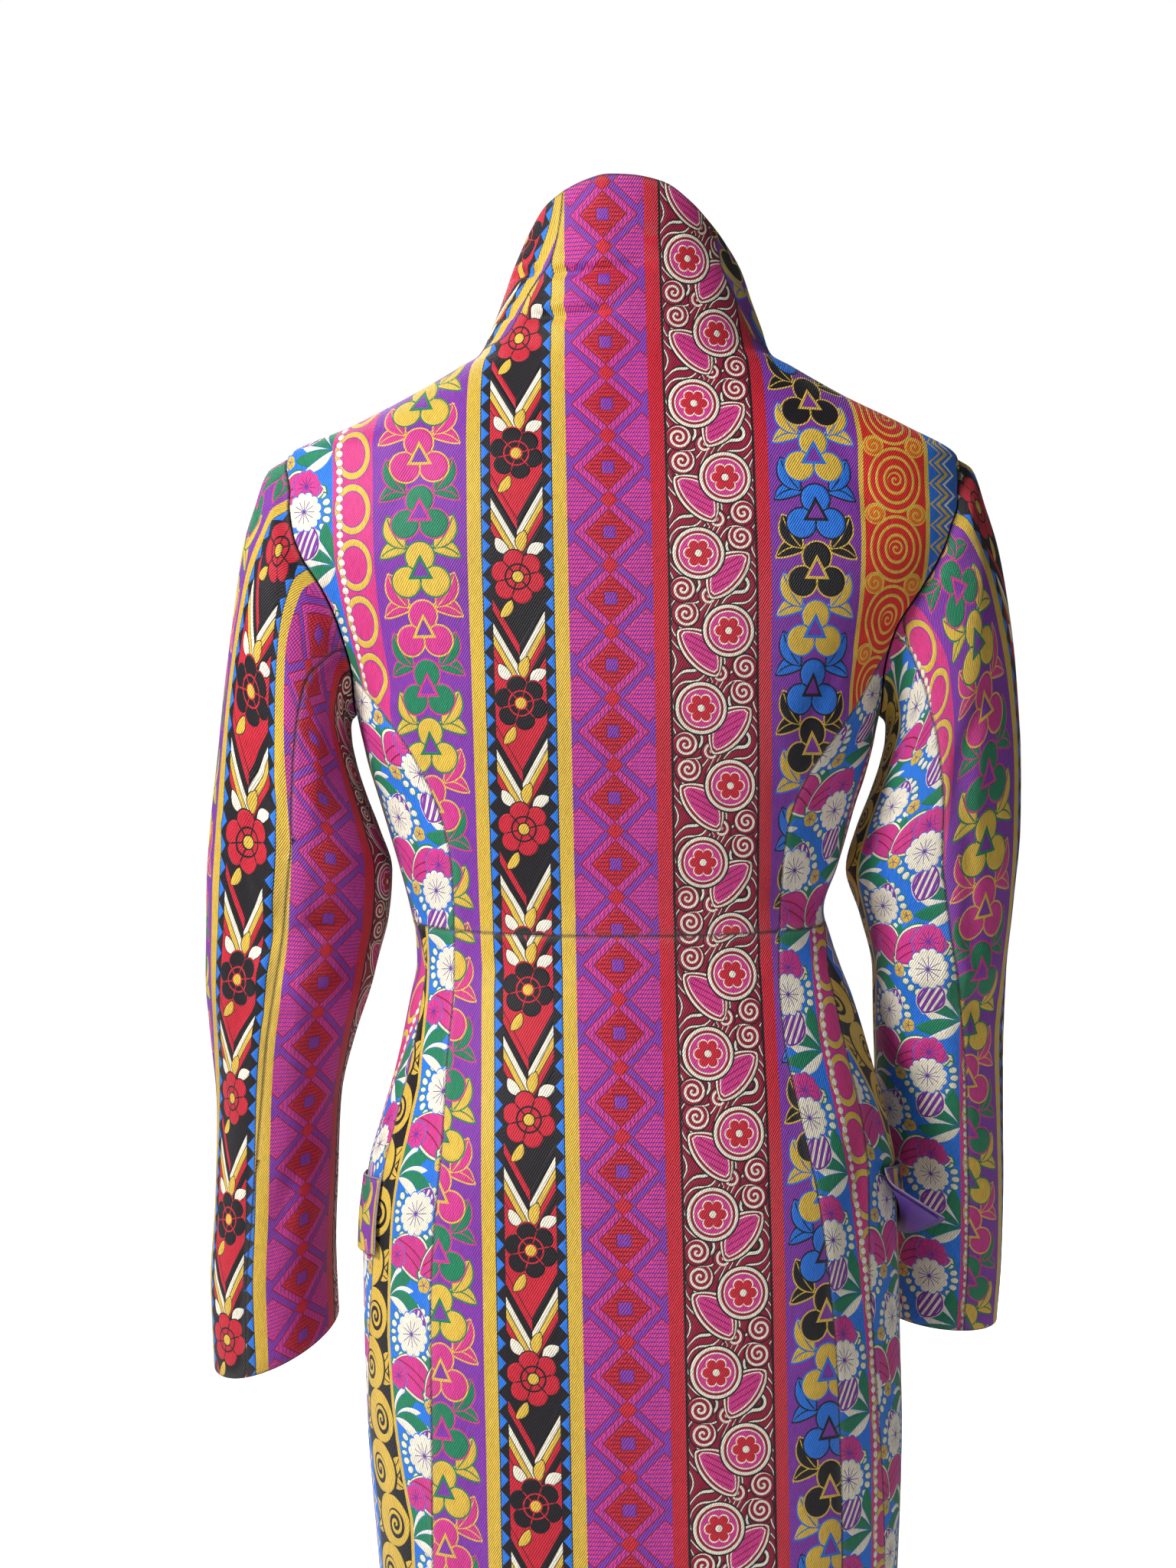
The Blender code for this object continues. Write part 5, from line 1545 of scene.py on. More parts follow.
def petals_group():
    """Distance in millimetres to a round flower's edge, and to the slits between petals."""
    group, given, leave = new_group(
        "petals", {"X": 0.0, "Y": 0.0, "Radius": 10.0, "Petals": 5.0, "Notch": 0.25, "Turn": 0.0},
        ("Distance", "Slit"))
    x, y = given["X"], given["Y"]
    far = radial(x, y)
    half = (y.math("ARCTAN2", x) + given["Turn"]) * given["Petals"] * 0.5
    bulge = abs(half.cos()).math("POWER", 0.55)
    edge = given["Radius"] * (1.0 - given["Notch"] + given["Notch"] * bulge)
    slit = far * abs(half.cos()) / given["Petals"] * 2.0
    return send(group, leave, Distance=far - edge, Slit=slit)


def leaf_group():
    """Distance in millimetres to a leaf's edge and to its midrib; the leaf bends with Bow."""
    group, given, leave = new_group(
        "leaf", {"X": 0.0, "Y": 0.0, "Angle": 0.0, "Length": 10.0, "Width": 4.0, "Bow": 0.0},
        ("Distance", "Midrib"))
    sine, cosine = given["Angle"].sin(), given["Angle"].cos()
    along = given["X"] * cosine + given["Y"] * sine
    across = given["Y"] * cosine - given["X"] * sine
    share = along / given["Length"]
    lean = share * (1.0 - share) * 4.0
    off = abs(across - given["Bow"] * lean)
    blunt = lean.larger(0.0).math("POWER", 0.75)
    inside = off - given["Width"] * 0.5 * blunt
    ends = (abs(share - 0.5) - 0.5) * given["Length"]
    return send(group, leave, Distance=inside.larger(ends), Midrib=off.larger(ends))


def curl_group():
    """Distance in millimetres to a spiral thread inside a disc."""
    group, given, leave = new_group(
        "curl", {"X": 0.0, "Y": 0.0, "Radius": 8.0, "Pitch": 3.0, "Turn": 0.0, "Hand": 1.0},
        ("Distance", "Thread"))
    x, y = given["X"], given["Y"]
    far = radial(x, y)
    turn = (y.math("ARCTAN2", x) * given["Hand"] + given["Turn"]) / (2 * math.pi)
    thread = abs((far / given["Pitch"] - turn).wrapped(-0.5, 0.5)) * given["Pitch"]
    return send(group, leave, Distance=far - given["Radius"], Thread=thread)


def patch_group():
    """Lays a patch of thread with an outline over what is there, and raises it."""
    group, given, leave = new_group(
        "thread patch",
        {"Colour": (0, 0, 0), "Height": 0.0, "Distance": 1.0, "Thread": (1, 1, 1),
         "Outline": (0, 0, 0), "Line": 0.5, "Rise": 0.3},
        ("Colour", "Height"))
    off = given["Distance"]
    line = given["Line"]
    around = off.blend(line - PATCH_BLUR, line + PATCH_BLUR, 1.0, 0.0)
    inside = off.blend(-PATCH_BLUR, PATCH_BLUR, 1.0, 0.0)
    outlined = mix_colours(group, around, given["Colour"].value, given["Outline"].value)
    colour = mix_colours(group, inside, outlined, given["Thread"].value)
    crown = off.blend(*PATCH_CROWN, 0.0, 1.0)
    low = given["Height"] * (1.0 - around)
    return send(group, leave, Colour=colour, Height=low + crown * given["Rise"])


def weave_group():
    """Twill ribs, uneven yarn, seam shade and rubbed edges over a woven pattern."""
    group, given, leave = new_group(
        "woven cloth",
        {"Colour": (0.5, 0.5, 0.5), "Height": 0.0, "Across": 0.0, "Along": 0.0, "Edge": 1.0,
         "Rib": 1.3, "Rib depth": 0.3, "Roughness": 0.6},
        ("Colour", "Height", "Roughness"))
    across, along, edge, depth = (given[label] for label in ("Across", "Along", "Edge", "Rib depth"))
    stretched = {0: across * 0.9, 1: along * 0.16}
    place = add_node(group, "CombineXYZ", stretched).outputs[0]
    uneven, broad = (
        Term(group, noise_of(group, place, "2D", Scale=scale, Detail=detail)) - 0.5
        for scale, detail in (FINE_NOISE, BROAD_NOISE))
    turn = (across * TWILL_ACROSS - along * TWILL_ALONG) / given["Rib"] + uneven * 0.22
    groove = abs(turn.wrapped(-0.5, 0.5)) * 2.0
    rib = groove.blend(0.25, 1.0, 1.0, -1.0)
    pick = (along * 5.7 - across * 1.1).sin()
    worn = edge.blend(0.0, WORN_REACH, 1.0, 0.0)
    dark = edge.blend(0.0, SEAM_SHADE_REACH, 1.0, 0.0)
    shade = 0.96 + rib * depth * 0.46 + uneven * 0.46 + broad * 0.26 - dark * SEAM_SHADE
    bright = add_node(
        group, "VectorMath", {0: given["Colour"], "Scale": shade}, operation="SCALE")
    rubbed = mix_colours(group, worn * 0.05, bright.outputs[0], WORN_COLOUR)
    height = given["Height"] + rib * depth * 0.34 + pick * 0.03 + uneven * 0.08
    rough = given["Roughness"] - rib * 0.06 + uneven * 0.1 + worn * 0.05
    return send(group, leave, Colour=rubbed, Height=height, Roughness=rough)


GROUP_MAKERS = {
    "petals": petals_group, "leaf": leaf_group, "curl": curl_group, "patch": patch_group,
    "weave": weave_group,
}
GROUPS = {}


def new_material(name):
    """An empty material and its node tree."""
    material = bpy.data.materials.new(name)
    material.use_nodes = True
    return material, material.node_tree


class Loom:
    """Weaves one band: keeps its colour and height so far and lays shapes over them.

    Lengths on the cloth are in millimetres, and x runs across the band from its middle.
    """

    def __init__(self, name, cloth, ground, roughness=0.62, rib=1.3, rib_depth=0.3):
        self.name = name
        self.material, self.tree = new_material(name)
        self.cloth = cloth
        self.finish_inputs = {"Roughness": roughness, "Rib": rib, "Rib depth": rib_depth}
        spot = add_node(self.tree, "UVMap", {}, uv_map="cloth")
        parts = add_node(self.tree, "SeparateXYZ", {0: spot.outputs[0]})
        self.x = Term(self.tree, parts.outputs[0]) * 1000.0
        self.y = Term(self.tree, parts.outputs[1]) * 1000.0
        self.colour = self.dyed(ground)
        self.height = 0.0

    def dyed(self, colour):
        """A colour of the cloth by its name; a socket stays as it is."""
        return getattr(self.cloth, colour) if isinstance(colour, str) else colour

    def mix(self, share, below, above):
        """Mix of two colours."""
        return mix_colours(self.tree, share, self.dyed(below), self.dyed(above))

    def group(self, kind, inputs):
        """A shared group's node, and its outputs as Terms."""
        node = self.tree.nodes.new("ShaderNodeGroup")
        node.node_tree = GROUPS[kind]
        for label, value in inputs.items():
            plug(self.tree, value, node.inputs[label])
        return [Term(self.tree, output) for output in node.outputs]

    def petals(self, x, y, radius, count, notch=0.25, turn=0.0):
        return self.group(
            "petals", {"X": x, "Y": y, "Radius": radius, "Petals": count, "Notch": notch, "Turn": turn})

    def leaf(self, x, y, degrees, length, width, bow=0.0):
        angle = math.radians(degrees)
        return self.group(
            "leaf", {"X": x, "Y": y, "Angle": angle, "Length": length, "Width": width, "Bow": bow})

    def curl(self, x, y, radius, pitch, turn=0.0, hand=1.0):
        return self.group(
            "curl", {"X": x, "Y": y, "Radius": radius, "Pitch": pitch, "Turn": turn, "Hand": hand})

    def lay(self, distance, thread, outline=None, line=0.5, rise=0.3):
        """Lays a patch of thread where distance is below zero."""
        if outline is None:
            outline, line = thread, 0.0
        colour, self.height = self.group("patch", {
            "Colour": self.colour, "Height": self.height, "Distance": distance,
            "Thread": self.dyed(thread), "Outline": self.dyed(outline), "Line": line, "Rise": rise})
        self.colour = colour.value

    def midrib(self, rib, leaf, colour):
        """Draws the midrib inside a leaf."""
        self.lay((rib - 0.35).larger(leaf + 0.9), colour, rise=-0.05)

    def pick(self, number, *colours):
        """One of the colours by a whole number that counts from 0."""
        chosen = colours[0]
        for k, colour in enumerate(colours[1:], start=1):
            chosen = self.mix(number.math("COMPARE", float(k), 0.5), chosen, colour)
        return chosen

    def cells(self, pitch, count=1, shift=0.0):
        """Place inside a repeat along the band, and the repeat's number modulo count."""
        moved = self.y + shift
        inside = moved.wrapped(-pitch / 2, pitch / 2)
        if count == 1:
            return inside, None
        return inside, ((moved + pitch / 2) / pitch).math("FLOOR").wrapped(0.0, float(count))

    def finish(self):
        """Adds the weave and ends in the material's own shader; gives its name and itself."""
        seam = add_node(self.tree, "Attribute", {}, attribute_name="edge").outputs["Fac"]
        colour, height, roughness = self.group("weave", {
            "Colour": self.colour, "Height": self.height, "Across": self.x, "Along": self.y,
            "Edge": seam, **self.finish_inputs})
        finish_shader(self.tree, height, self.cloth.relief, 0.001, {
            "Base Color": colour, "Roughness": roughness, "Specular IOR Level": 0.35,
            "Sheen Weight": self.cloth.sheen, "Sheen Roughness": 0.45})
        return self.name, self.material


def finish_shader(tree, height, relief, depth, inputs):
    """Ends a material in its own shader, with a height in units of depth as its relief."""
    bump = add_node(tree, "Bump", {"Strength": relief, "Distance": depth, "Height": height})
    shader = tree.nodes["Principled BSDF"]
    for label, value in {"Normal": bump.outputs[0], **inputs}.items():
        plug(tree, value, shader.inputs[label])


def weave_plain(cloth, name, colour, roughness, rib, rib_depth):
    """A plain twill or satin."""
    return Loom(name, cloth, colour, roughness, rib, rib_depth).finish()


def weave_teeth(cloth, name, way):
    """Black stripe with a saw edge of blue triangles on the side of the flower panel."""
    loom = Loom(name, cloth, "black")
    inside, _ = loom.cells(11.5)
    from_base = loom.x * way + 2.4
    tooth = (abs(inside) * 0.92 + from_base - 4.7).larger(-from_base)
    loom.lay(tooth * 0.74, "blue", rise=0.18)
    return loom.finish()


def weave_folk(cloth):
    """Black and red fields parted by chevrons, with a round flower and drops in each."""
    loom = Loom("folk", cloth, "black", 0.6, 1.35, 0.44)
    inside, number = loom.cells(75.0, 2)
    x = loom.x
    field = loom.pick(number, "black", "red")
    other = loom.pick(number, "red", "black")
    loom.colour = field
    arm = x.math("GREATER_THAN", 0.0)
    vee = (loom.y + 37.5 - abs(x) * 1.75 + 14.0).wrapped(-37.5, 37.5)
    rows = ((-14.4, "red", "black"), (-7.6, "gold", "red"),
            (-0.8, "cream", "gold"), (6.0, "black", "cream"),
            (12.8, "red", "black"))
    for offset, left, right in rows:
        loom.lay((abs(vee - offset) - 3.1) * 0.5, loom.mix(arm, left, right), "black", 0.5, 0.26)
    drops = ((2.0, 20.0, 78.0, 12.5, 6.4, "gold"), (6.0, 17.5, 34.0, 12.0, 6.8, "cream"),
             (-5.0, 19.0, 130.0, 12.0, 6.2, "cream"), (-4.0, -9.0, 236.0, 12.0, 5.6, "gold"))
    for cx, cy, degrees, length, width, colour in drops:
        drop, _ = loom.leaf(x - cx, inside - cy, degrees, length, width, 1.0)
        loom.lay(drop, colour, "black", 0.6, 0.34)
    flower, slit = loom.petals(x, inside - 5.0, 16.2, 6.0, 0.3, 0.3)
    loom.lay(flower, other, field, 0.8, 0.42)
    loom.lay(slit.larger(flower + 1.4) - 0.36, field, rise=0.0)
    ring = radial(x, inside - 5.0)
    loom.lay(abs(ring - 7.4) - 0.5, field, rise=0.0)
    loom.lay(ring - 3.2, "gold", field, 0.8, 0.34)
    return loom.finish()


def weave_lozenges(cloth):
    """Hatched magenta and red diamonds inside one another on purple."""
    loom = Loom("lozenge", cloth, "purple", 0.58, 1.35, 0.46)
    pitch = 39.5
    inside, _ = loom.cells(pitch)
    between, _ = loom.cells(pitch, shift=pitch / 2)
    x = loom.x
    bars = abs(loom.y.wrapped(-1.25, 1.25)) - 0.36
    rungs = abs(loom.x.wrapped(-1.25, 1.25)) - 0.3
    corner = diamond(abs(x) - 21.0, between, 14.0, 13.6, 9.6)
    loom.lay(corner, "magenta", "crimson", 0.6, 0.24)
    loom.lay(bars.larger(corner + 0.6), "purple", rise=-0.12)
    large = diamond(x, inside, 20.5, 19.6, 14.2)
    loom.lay(large, "magenta", "crimson", 0.7, 0.24)
    loom.lay(rungs.larger(large + 0.7), "purple", rise=-0.12)
    middle = diamond(x, inside, 13.8, 13.4, 9.6)
    loom.lay(middle, "red", "crimson", 0.8, 0.28)
    loom.lay(bars.larger(middle + 0.7), "crimson", rise=-0.12)
    loom.lay(abs(x).larger(abs(inside)) - 3.6, "purple", "crimson", 0.5, 0.22)
    loom.lay(diamond(x, between, 5.4, 5.0, 3.6), "red", "crimson", 0.4, 0.2)
    return loom.finish()


def weave_swirls(cloth):
    """Cream-lined discs and paisley drops among flowing scrolls of crimson and black."""
    loom = Loom("swirl", cloth, "black", 0.6, 1.3, 0.34)
    pitch = 46.0
    inside, number = loom.cells(pitch, 2)
    hand = 1.0 - number * 2.0
    x = loom.x * hand
    y = inside
    flow = loom.x * 0.17 + (loom.y * 0.1366).sin() * 1.3 + (loom.x * 0.21).sin() * 0.8
    lines = abs(flow.wrapped(-0.5, 0.5))
    loom.lay((lines - 0.3) * 5.0, "crimson", "black", 0.4, 0.24)
    loom.lay((0.415 - lines) * 5.0, "cream", rise=0.28)
    for cx, cy, size, turn, way in ((-17.0, 17.0, 8.0, 0.5, 1.0), (18.5, -14.5, 7.6, 2.0, -1.0),
                                    (2.5, -19.0, 6.2, 1.0, 1.0)):
        disc, thread = loom.curl(x - cx, y - cy, size, 3.5, turn, way)
        loom.lay(disc, "crimson", "black", 0.8, 0.28)
        loom.lay((thread - 0.7).larger(disc + 0.5), "cream", rise=0.24)
    drop, _ = loom.leaf(x - 2.0, y + 20.0, 131.0, 36.0, 21.0, -3.0)
    loom.lay(drop, "cream", "black", 1.0, 0.3)
    for inset, colour in ((1.5, "crimson"), (3.0, "cream"), (3.9, "magenta")):
        loom.lay(drop + inset, colour, rise=0.1)
    vein = abs((y * 0.9 + x * 0.5).wrapped(-1.7, 1.7)) - 0.3
    loom.lay(vein.larger(drop + 5.2), "crimson", rise=0.0)
    far = radial(x - 8.6, y - 7.0)
    loom.lay(far - 15.4, "crimson", "black", 1.0, 0.34)
    for radius, half in ((14.4, 0.9), (11.2, 0.7)):
        loom.lay(abs(far - radius) - half, "cream", rise=0.24)
    loom.lay(far - 11.0, "magenta", rise=0.06)
    star, _ = loom.petals(x - 8.6, y - 7.0, 8.2, 6.0, 0.36)
    loom.lay(star, "red", "cream", 0.9, 0.2)
    loom.lay(far - 2.1, "cream", "crimson", 0.5, 0.16)
    loom.lay(25.5 - abs(loom.x), "black", rise=0.0)
    return loom.finish()


def weave_chain(cloth, name, colours, lines):
    """A chain of three-lobed flowers on purple with two pairs of leaves at each joint."""
    loom = Loom(name, cloth, "purple", 0.56, 1.35, 0.46)
    pitch = 35.0
    inside, number = loom.cells(pitch, 3)
    between, joint = loom.cells(pitch, 3, shift=pitch / 2)
    line = loom.pick(number, *lines)
    vein = loom.pick(joint, *lines[2:], *lines[:2])
    leaf_colour = loom.pick(joint, *colours[2:], *colours[:2])
    x = loom.x
    side = abs(x)
    leaves = ((-17.0, 19.0, 8.6, 2.6, 6.5), (60.0, 22.0, 10.8, -1.6, 9.5))
    for degrees, length, width, bow, start in leaves:
        leaf, rib = loom.leaf(side - start, between + 4.4, degrees, length, width, bow)
        loom.lay(leaf, leaf_colour, vein, 1.0, 0.36)
        loom.midrib(rib, leaf, vein)
    low = radial(side - 9.0, inside + 7.2) - 8.8
    top = radial(x, inside - 7.9) - 8.6
    flower = low.smaller(top).smaller(radial(x, inside) - 8.0)
    loom.lay(flower, loom.pick(number, *colours), line, 1.0, 0.42)
    loom.lay((abs(low - top) - 0.9).larger(flower + 0.2), line, rise=-0.05)
    loom.lay((side - 0.6).larger(inside + 2.0).larger(flower + 0.2), line, rise=-0.05)
    heart = (side * 0.88 + inside * 0.47 - 4.3).larger(-5.6 - inside)
    loom.lay(heart, line, rise=0.16)
    loom.lay(heart + 1.7, "purple", rise=0.0)
    return loom.finish()


def weave_meadow(cloth):
    """Cream daisies, fans of green and cream blades, pink pods and ribbed buds on blue."""
    loom = Loom("meadow", cloth, "blue", 0.6, 1.35, 0.4)
    pitch = 72.0
    rows = (loom.cells(pitch)[0], loom.cells(pitch, shift=pitch / 2)[0])

    def at(cx, cy, row):
        return loom.x - cx, rows[row] - cy

    for cx, cy, row, radius in ((-15.0, 10.0, 0, 17.0), (16.0, 6.0, 1, 16.5)):
        off_x, off_y = at(cx, cy, row)
        turn = (off_y.math("ARCTAN2", off_x) * radius).wrapped(-2.7, 2.7)
        off = radial(off_x, off_y) - radius
        loom.lay((off * off * 0.6 + turn * turn).root() - 1.9, "cream", "green", 0.5, 0.28)
    fans = ((36.0, 7.0, 0, 100.0, 22.0), (-36.0, -6.0, 1, 80.0, -22.0), (-2.0, -30.0, 0, 122.0, -17.0))
    for cx, cy, row, first, step in fans:
        for k in range(6):
            odd = k % 2
            length, width = 28.0 - 4.0 * odd, 10.0 - 4.4 * odd
            blade, _ = loom.leaf(*at(cx, cy, row), first + step * k, length, width, 1.8)
            loom.lay(blade, "cream" if odd else "green", "blue", 0.35, 0.32)
    pods = ((-32.0, -8.0, 0, -34.0, 36.0, 21.0, 4.5), (29.0, 20.0, 1, 194.0, 37.0, 21.0, -5.0))
    for cx, cy, row, degrees, length, width, bow in pods:
        pod, rib = loom.leaf(*at(cx, cy, row), degrees, length, width, bow)
        loom.lay(pod - 1.8, "cream", "green", 1.2, 0.36)
        loom.lay(pod, "magenta", "crimson", 0.4, 0.42)
        loom.lay((abs(rib - 2.6) - 0.35).larger(pod + 1.2), "crimson", rise=-0.05)
    for cx, cy, row, degrees in ((12.0, 12.0, 0, 62.0), (-14.0, -32.0, 1, 74.0)):
        bud, rib = loom.leaf(*at(cx, cy, row), degrees, 23.0, 17.0)
        loom.lay(bud, "purple", "cream", 0.6, 0.36)
        loom.lay((abs(rib.wrapped(-1.9, 1.9)) - 0.8).larger(bud + 1.4), "cream", rise=0.14)
    blooms = ((-15.0, 10.0, 0, 13.2, 12.0, "cream"), (17.0, -14.0, 0, 10.5, 11.0, "magenta"),
              (16.0, 6.0, 1, 12.4, 12.0, "cream"), (-29.0, 20.0, 1, 8.0, 9.0, "magenta"),
              (3.0, 3.0, 0, 4.6, 5.0, "gold"), (-4.0, 4.0, 1, 4.8, 5.0, "gold"))
    for cx, cy, row, radius, count, colour in blooms:
        daisy, slit = loom.petals(*at(cx, cy, row), radius, count, 0.17, cx)
        loom.lay(daisy, colour, "blue", 0.6, 0.42)
        loom.lay(slit.larger(daisy + radius * 0.28) - 0.17, "lining", rise=-0.1)
    return loom.finish()


def weave_beads(cloth):
    """Pink stripe with a garland of gold arcs and cream beads."""
    loom = Loom("beads", cloth, "pink", 0.58, 1.25, 0.3)
    inside, _ = loom.cells(34.0)
    x = loom.x
    arc = abs((x * x + inside * inside * 0.55).root() - 10.0) - 1.5
    loom.lay(arc, "gold", "purple", 0.5, 0.26)
    bead_y, _ = loom.cells(5.6)
    bead_x = x + 8.5
    bead = radial(bead_x, bead_y) - 2.1
    loom.lay(abs(bead_x) - 0.6, "gold", rise=0.1)
    loom.lay(bead, "cream", "purple", 0.3, 0.34)
    return loom.finish()


def weave_scrolls(cloth):
    """Large gold rounds with black spirals, side about along a wave on black."""
    loom = Loom("scroll", cloth, "black", 0.5, 1.5, 0.6)
    inside, number = loom.cells(31.0, 2)
    x = loom.x * (1.0 - number * 2.0)
    wave = abs(loom.x - (loom.y * (math.pi / 31.0)).cos() * -17.0)
    loom.lay(wave * 0.6 - 1.7, "gold", "black", 0.8, 0.26)
    for degrees in (212.0, 148.0):
        leaf, rib = loom.leaf(x + 7.0, inside, degrees, 17.0, 8.6, 2.0)
        loom.lay(leaf, "gold", "black", 0.9, 0.3)
        loom.midrib(rib, leaf, "black")
    disc_x = x - 3.0
    disc = (disc_x * disc_x * 0.9 + inside * inside * 1.06).root() - 16.4
    loom.lay(disc, "gold", "black", 2.0, 0.4)
    eye, thread = loom.curl(x - 5.5, inside + 2.0, 9.6, 5.0, 1.2)
    loom.lay((1.0 - thread * 0.8).larger(eye), "black", rise=-0.2)
    return loom.finish()


def weave_rings(cloth):
    """Red band with large gold rings and small curls."""
    loom = Loom("rings", cloth, "scarlet", 0.55, 1.25, 0.34)
    inside, _ = loom.cells(42.0)
    between, _ = loom.cells(42.0, shift=21.0)
    x = loom.x
    for size in (16.5, 12.0, 7.0):
        ring = abs((x * x + inside * inside * 0.72).root() - size) - 0.75
        loom.lay(ring, "gold", rise=0.24)
    disc, thread = loom.curl(x, inside, 5.0, 3.4, 0.4)
    loom.lay((thread - 0.6).larger(disc), "gold", rise=0.24)
    disc, thread = loom.curl(abs(x) - 13.5, between, 5.8, 3.6, 0.9)
    loom.lay(disc, "orange", "gold", 0.8, 0.16)
    loom.lay((thread - 0.6).larger(disc), "gold", rise=0.24)
    return loom.finish()


def weave_zigzag(cloth):
    """Blue stripe with gold and cream zigzags."""
    loom = Loom("zigzag", cloth, "blue", 0.58, 1.25, 0.3)
    inside, _ = loom.cells(13.0)
    tent = abs(inside) * 1.25
    lines = ((2.0, "gold", 1.5), (-3.4, "cream", 1.0), (7.0, "gold", 0.7))
    for offset, colour, half in lines:
        loom.lay(abs(loom.x + tent - 4.0 + offset) * 0.62 - half * 0.62, colour, rise=0.2)
    return loom.finish()


def weave_all(cloth):
    """The materials of the bands, the lining and the piping, by name."""
    for name, maker in GROUP_MAKERS.items():
        GROUPS[name] = maker()
    warm = ("green", "magenta", "gold")
    warm_lines = ("magenta", "gold", "green")
    cool = ("blue", "gold", "black")
    cool_lines = ("black", "blue", "gold")
    return dict((
        weave_plain(cloth, "gold", "gold", 0.42, 1.15, 0.62),
        weave_plain(cloth, "line", "gold", 0.42, 1.15, 0.5),
        weave_plain(cloth, "red", "red", 0.5, 1.25, 0.6),
        weave_teeth(cloth, "teeth", 1.0),
        weave_teeth(cloth, "teeth_back", -1.0),
        weave_folk(cloth),
        weave_lozenges(cloth),
        weave_swirls(cloth),
        weave_chain(cloth, "chain_warm", warm, warm_lines),
        weave_chain(cloth, "chain_cool", cool, cool_lines),
        weave_meadow(cloth),
        weave_beads(cloth),
        weave_scrolls(cloth),
        weave_rings(cloth),
        weave_zigzag(cloth),
        weave_plain(cloth, "lining", "lining", *SATIN),
        weave_plain(cloth, "piping", "piping", *SATIN),
    ))


def dye(red, green, blue):
    """A colour as the eye reads it, 0 to 255, turned into scene light."""
    values = [channel / 255 for channel in (red, green, blue)]
    return tuple(v / 12.92 if v <= 0.04045 else ((v + 0.055) / 1.055) ** 2.4 for v in values)


def yarn(name, description, colour):
    """A colour property."""
    return bpy.props.FloatVectorProperty(
        name=name, description=description, subtype="COLOR", size=3, min=0.0, max=1.0,
        default=colour)


def share_of(name, description, default):
    """A property from 0 to 1."""
    return bpy.props.FloatProperty(
        name=name, description=description, default=default, min=0.0, max=1.0, subtype="FACTOR")


class BlazerCloth(bpy.types.PropertyGroup):
    """The jacquard and the lining."""

    relief: share_of("Relief", "How far the raised threads catch the light", 1.0)
    sheen: share_of("Sheen", "Soft light on the nap of the cloth", 0.05)
    purple: yarn("Purple", "Ground of the flower and diamond bands", dye(127, 54, 162))
    magenta: yarn("Magenta", "Pink-red of diamonds, flowers and drops", dye(206, 56, 138))
    pink: yarn("Pink", "Ground of the beaded stripe", dye(210, 56, 128))
    red: yarn("Red", "Red stripes and diamonds", dye(196, 32, 52))
    scarlet: yarn("Scarlet", "Ground of the ring band", dye(214, 44, 36))
    orange: yarn("Orange", "Small curls of the ring band", dye(228, 110, 32))
    crimson: yarn("Crimson", "Dark red of outlines and scrolls", dye(142, 16, 52))
    gold: yarn("Gold", "Gold stripes, leaves and outlines", dye(220, 182, 70))
    black: yarn("Black", "Black grounds", dye(22, 18, 24))
    blue: yarn("Blue", "Blue ground, teeth and flowers", dye(38, 118, 222))
    cream: yarn("Cream", "Cream flowers and outlines", dye(238, 230, 210))
    green: yarn("Green", "Green leaves and flowers", dye(28, 124, 88))
    lining: yarn("Lining", "Purple satin inside the garment", dye(100, 52, 170))
    piping: yarn("Piping", "Pale edge of the pocket flaps", dye(214, 190, 214))


class BlazerButtons(bpy.types.PropertyGroup):
    """The shank buttons."""

    colour: yarn("Button", "Dark polished buttons", dye(42, 20, 62))
    mottle: share_of("Mottle", "How much lighter the button's streaks are", 0.35)


def power(name, description, default):
    """A light's power."""
    return bpy.props.FloatProperty(
        name=name, description=description, default=default, min=0.0, unit="POWER")


class BlazerStage(bpy.types.PropertyGroup):
    """Camera, lights and floor."""

    distance: bpy.props.FloatProperty(
        name="Camera distance", description="Distance of the camera behind the wearer",
        default=1.75, min=0.5, unit="LENGTH")
    lens: bpy.props.FloatProperty(
        name="Lens", description="Focal length of the camera", default=64.087, min=20.0,
        unit="CAMERA")
    key: power("Key light", "Power of the light at the upper left", 92.0)
    fill: power("Fill light", "Power of the light at the right", 1.5)
    front: power("Front light", "Power of the light on the hidden front", 24.0)
    ambient: bpy.props.FloatProperty(
        name="Room light", description="Strength of the white room round the garment",
        default=0.11, min=0.0)
    floor_z: bpy.props.FloatProperty(
        name="Floor height", description="Height of the pale floor below the neck",
        default=SOLIDS_BOX[0][2] - 0.002, unit="LENGTH")


LOOKS = {}

# Camera, lights and floor, in metres: each light's name, its field in the stage's settings,
# its place and its size
SENSOR_HEIGHT = 36.0
CLIP_START = 0.05
CAMERA_X = 0.02256
CAMERA_Z = -0.268
STAGE_MIDDLE = (0.0, 0.0, -0.32)
LIGHTS = (
    ("key", "key", (1.75, 1.45, 1.3), 0.7),
    ("fill", "fill", (-1.9, 1.5, 0.2), 1.6),
    ("front fill", "front", (0.7, -2.2, 1.1), 1.6),
)
FLOOR_HALF = 6
WHITE = (1.0, 1.0, 1.0)

# Where the floor's glow grows, as distances from the middle, and its strength there
FLOOR_GLOW = (0.7, 1.5, 0.78, 1.0)

BUTTON_STREAKS = {"Scale": 260.0, "Detail": 3.0, "Distortion": 1.6}


def looks():
    """Every material by name, woven on first use."""
    if not LOOKS:
        LOOKS.update(weave_all(bpy.context.scene.blazer_cloth))
    return LOOKS


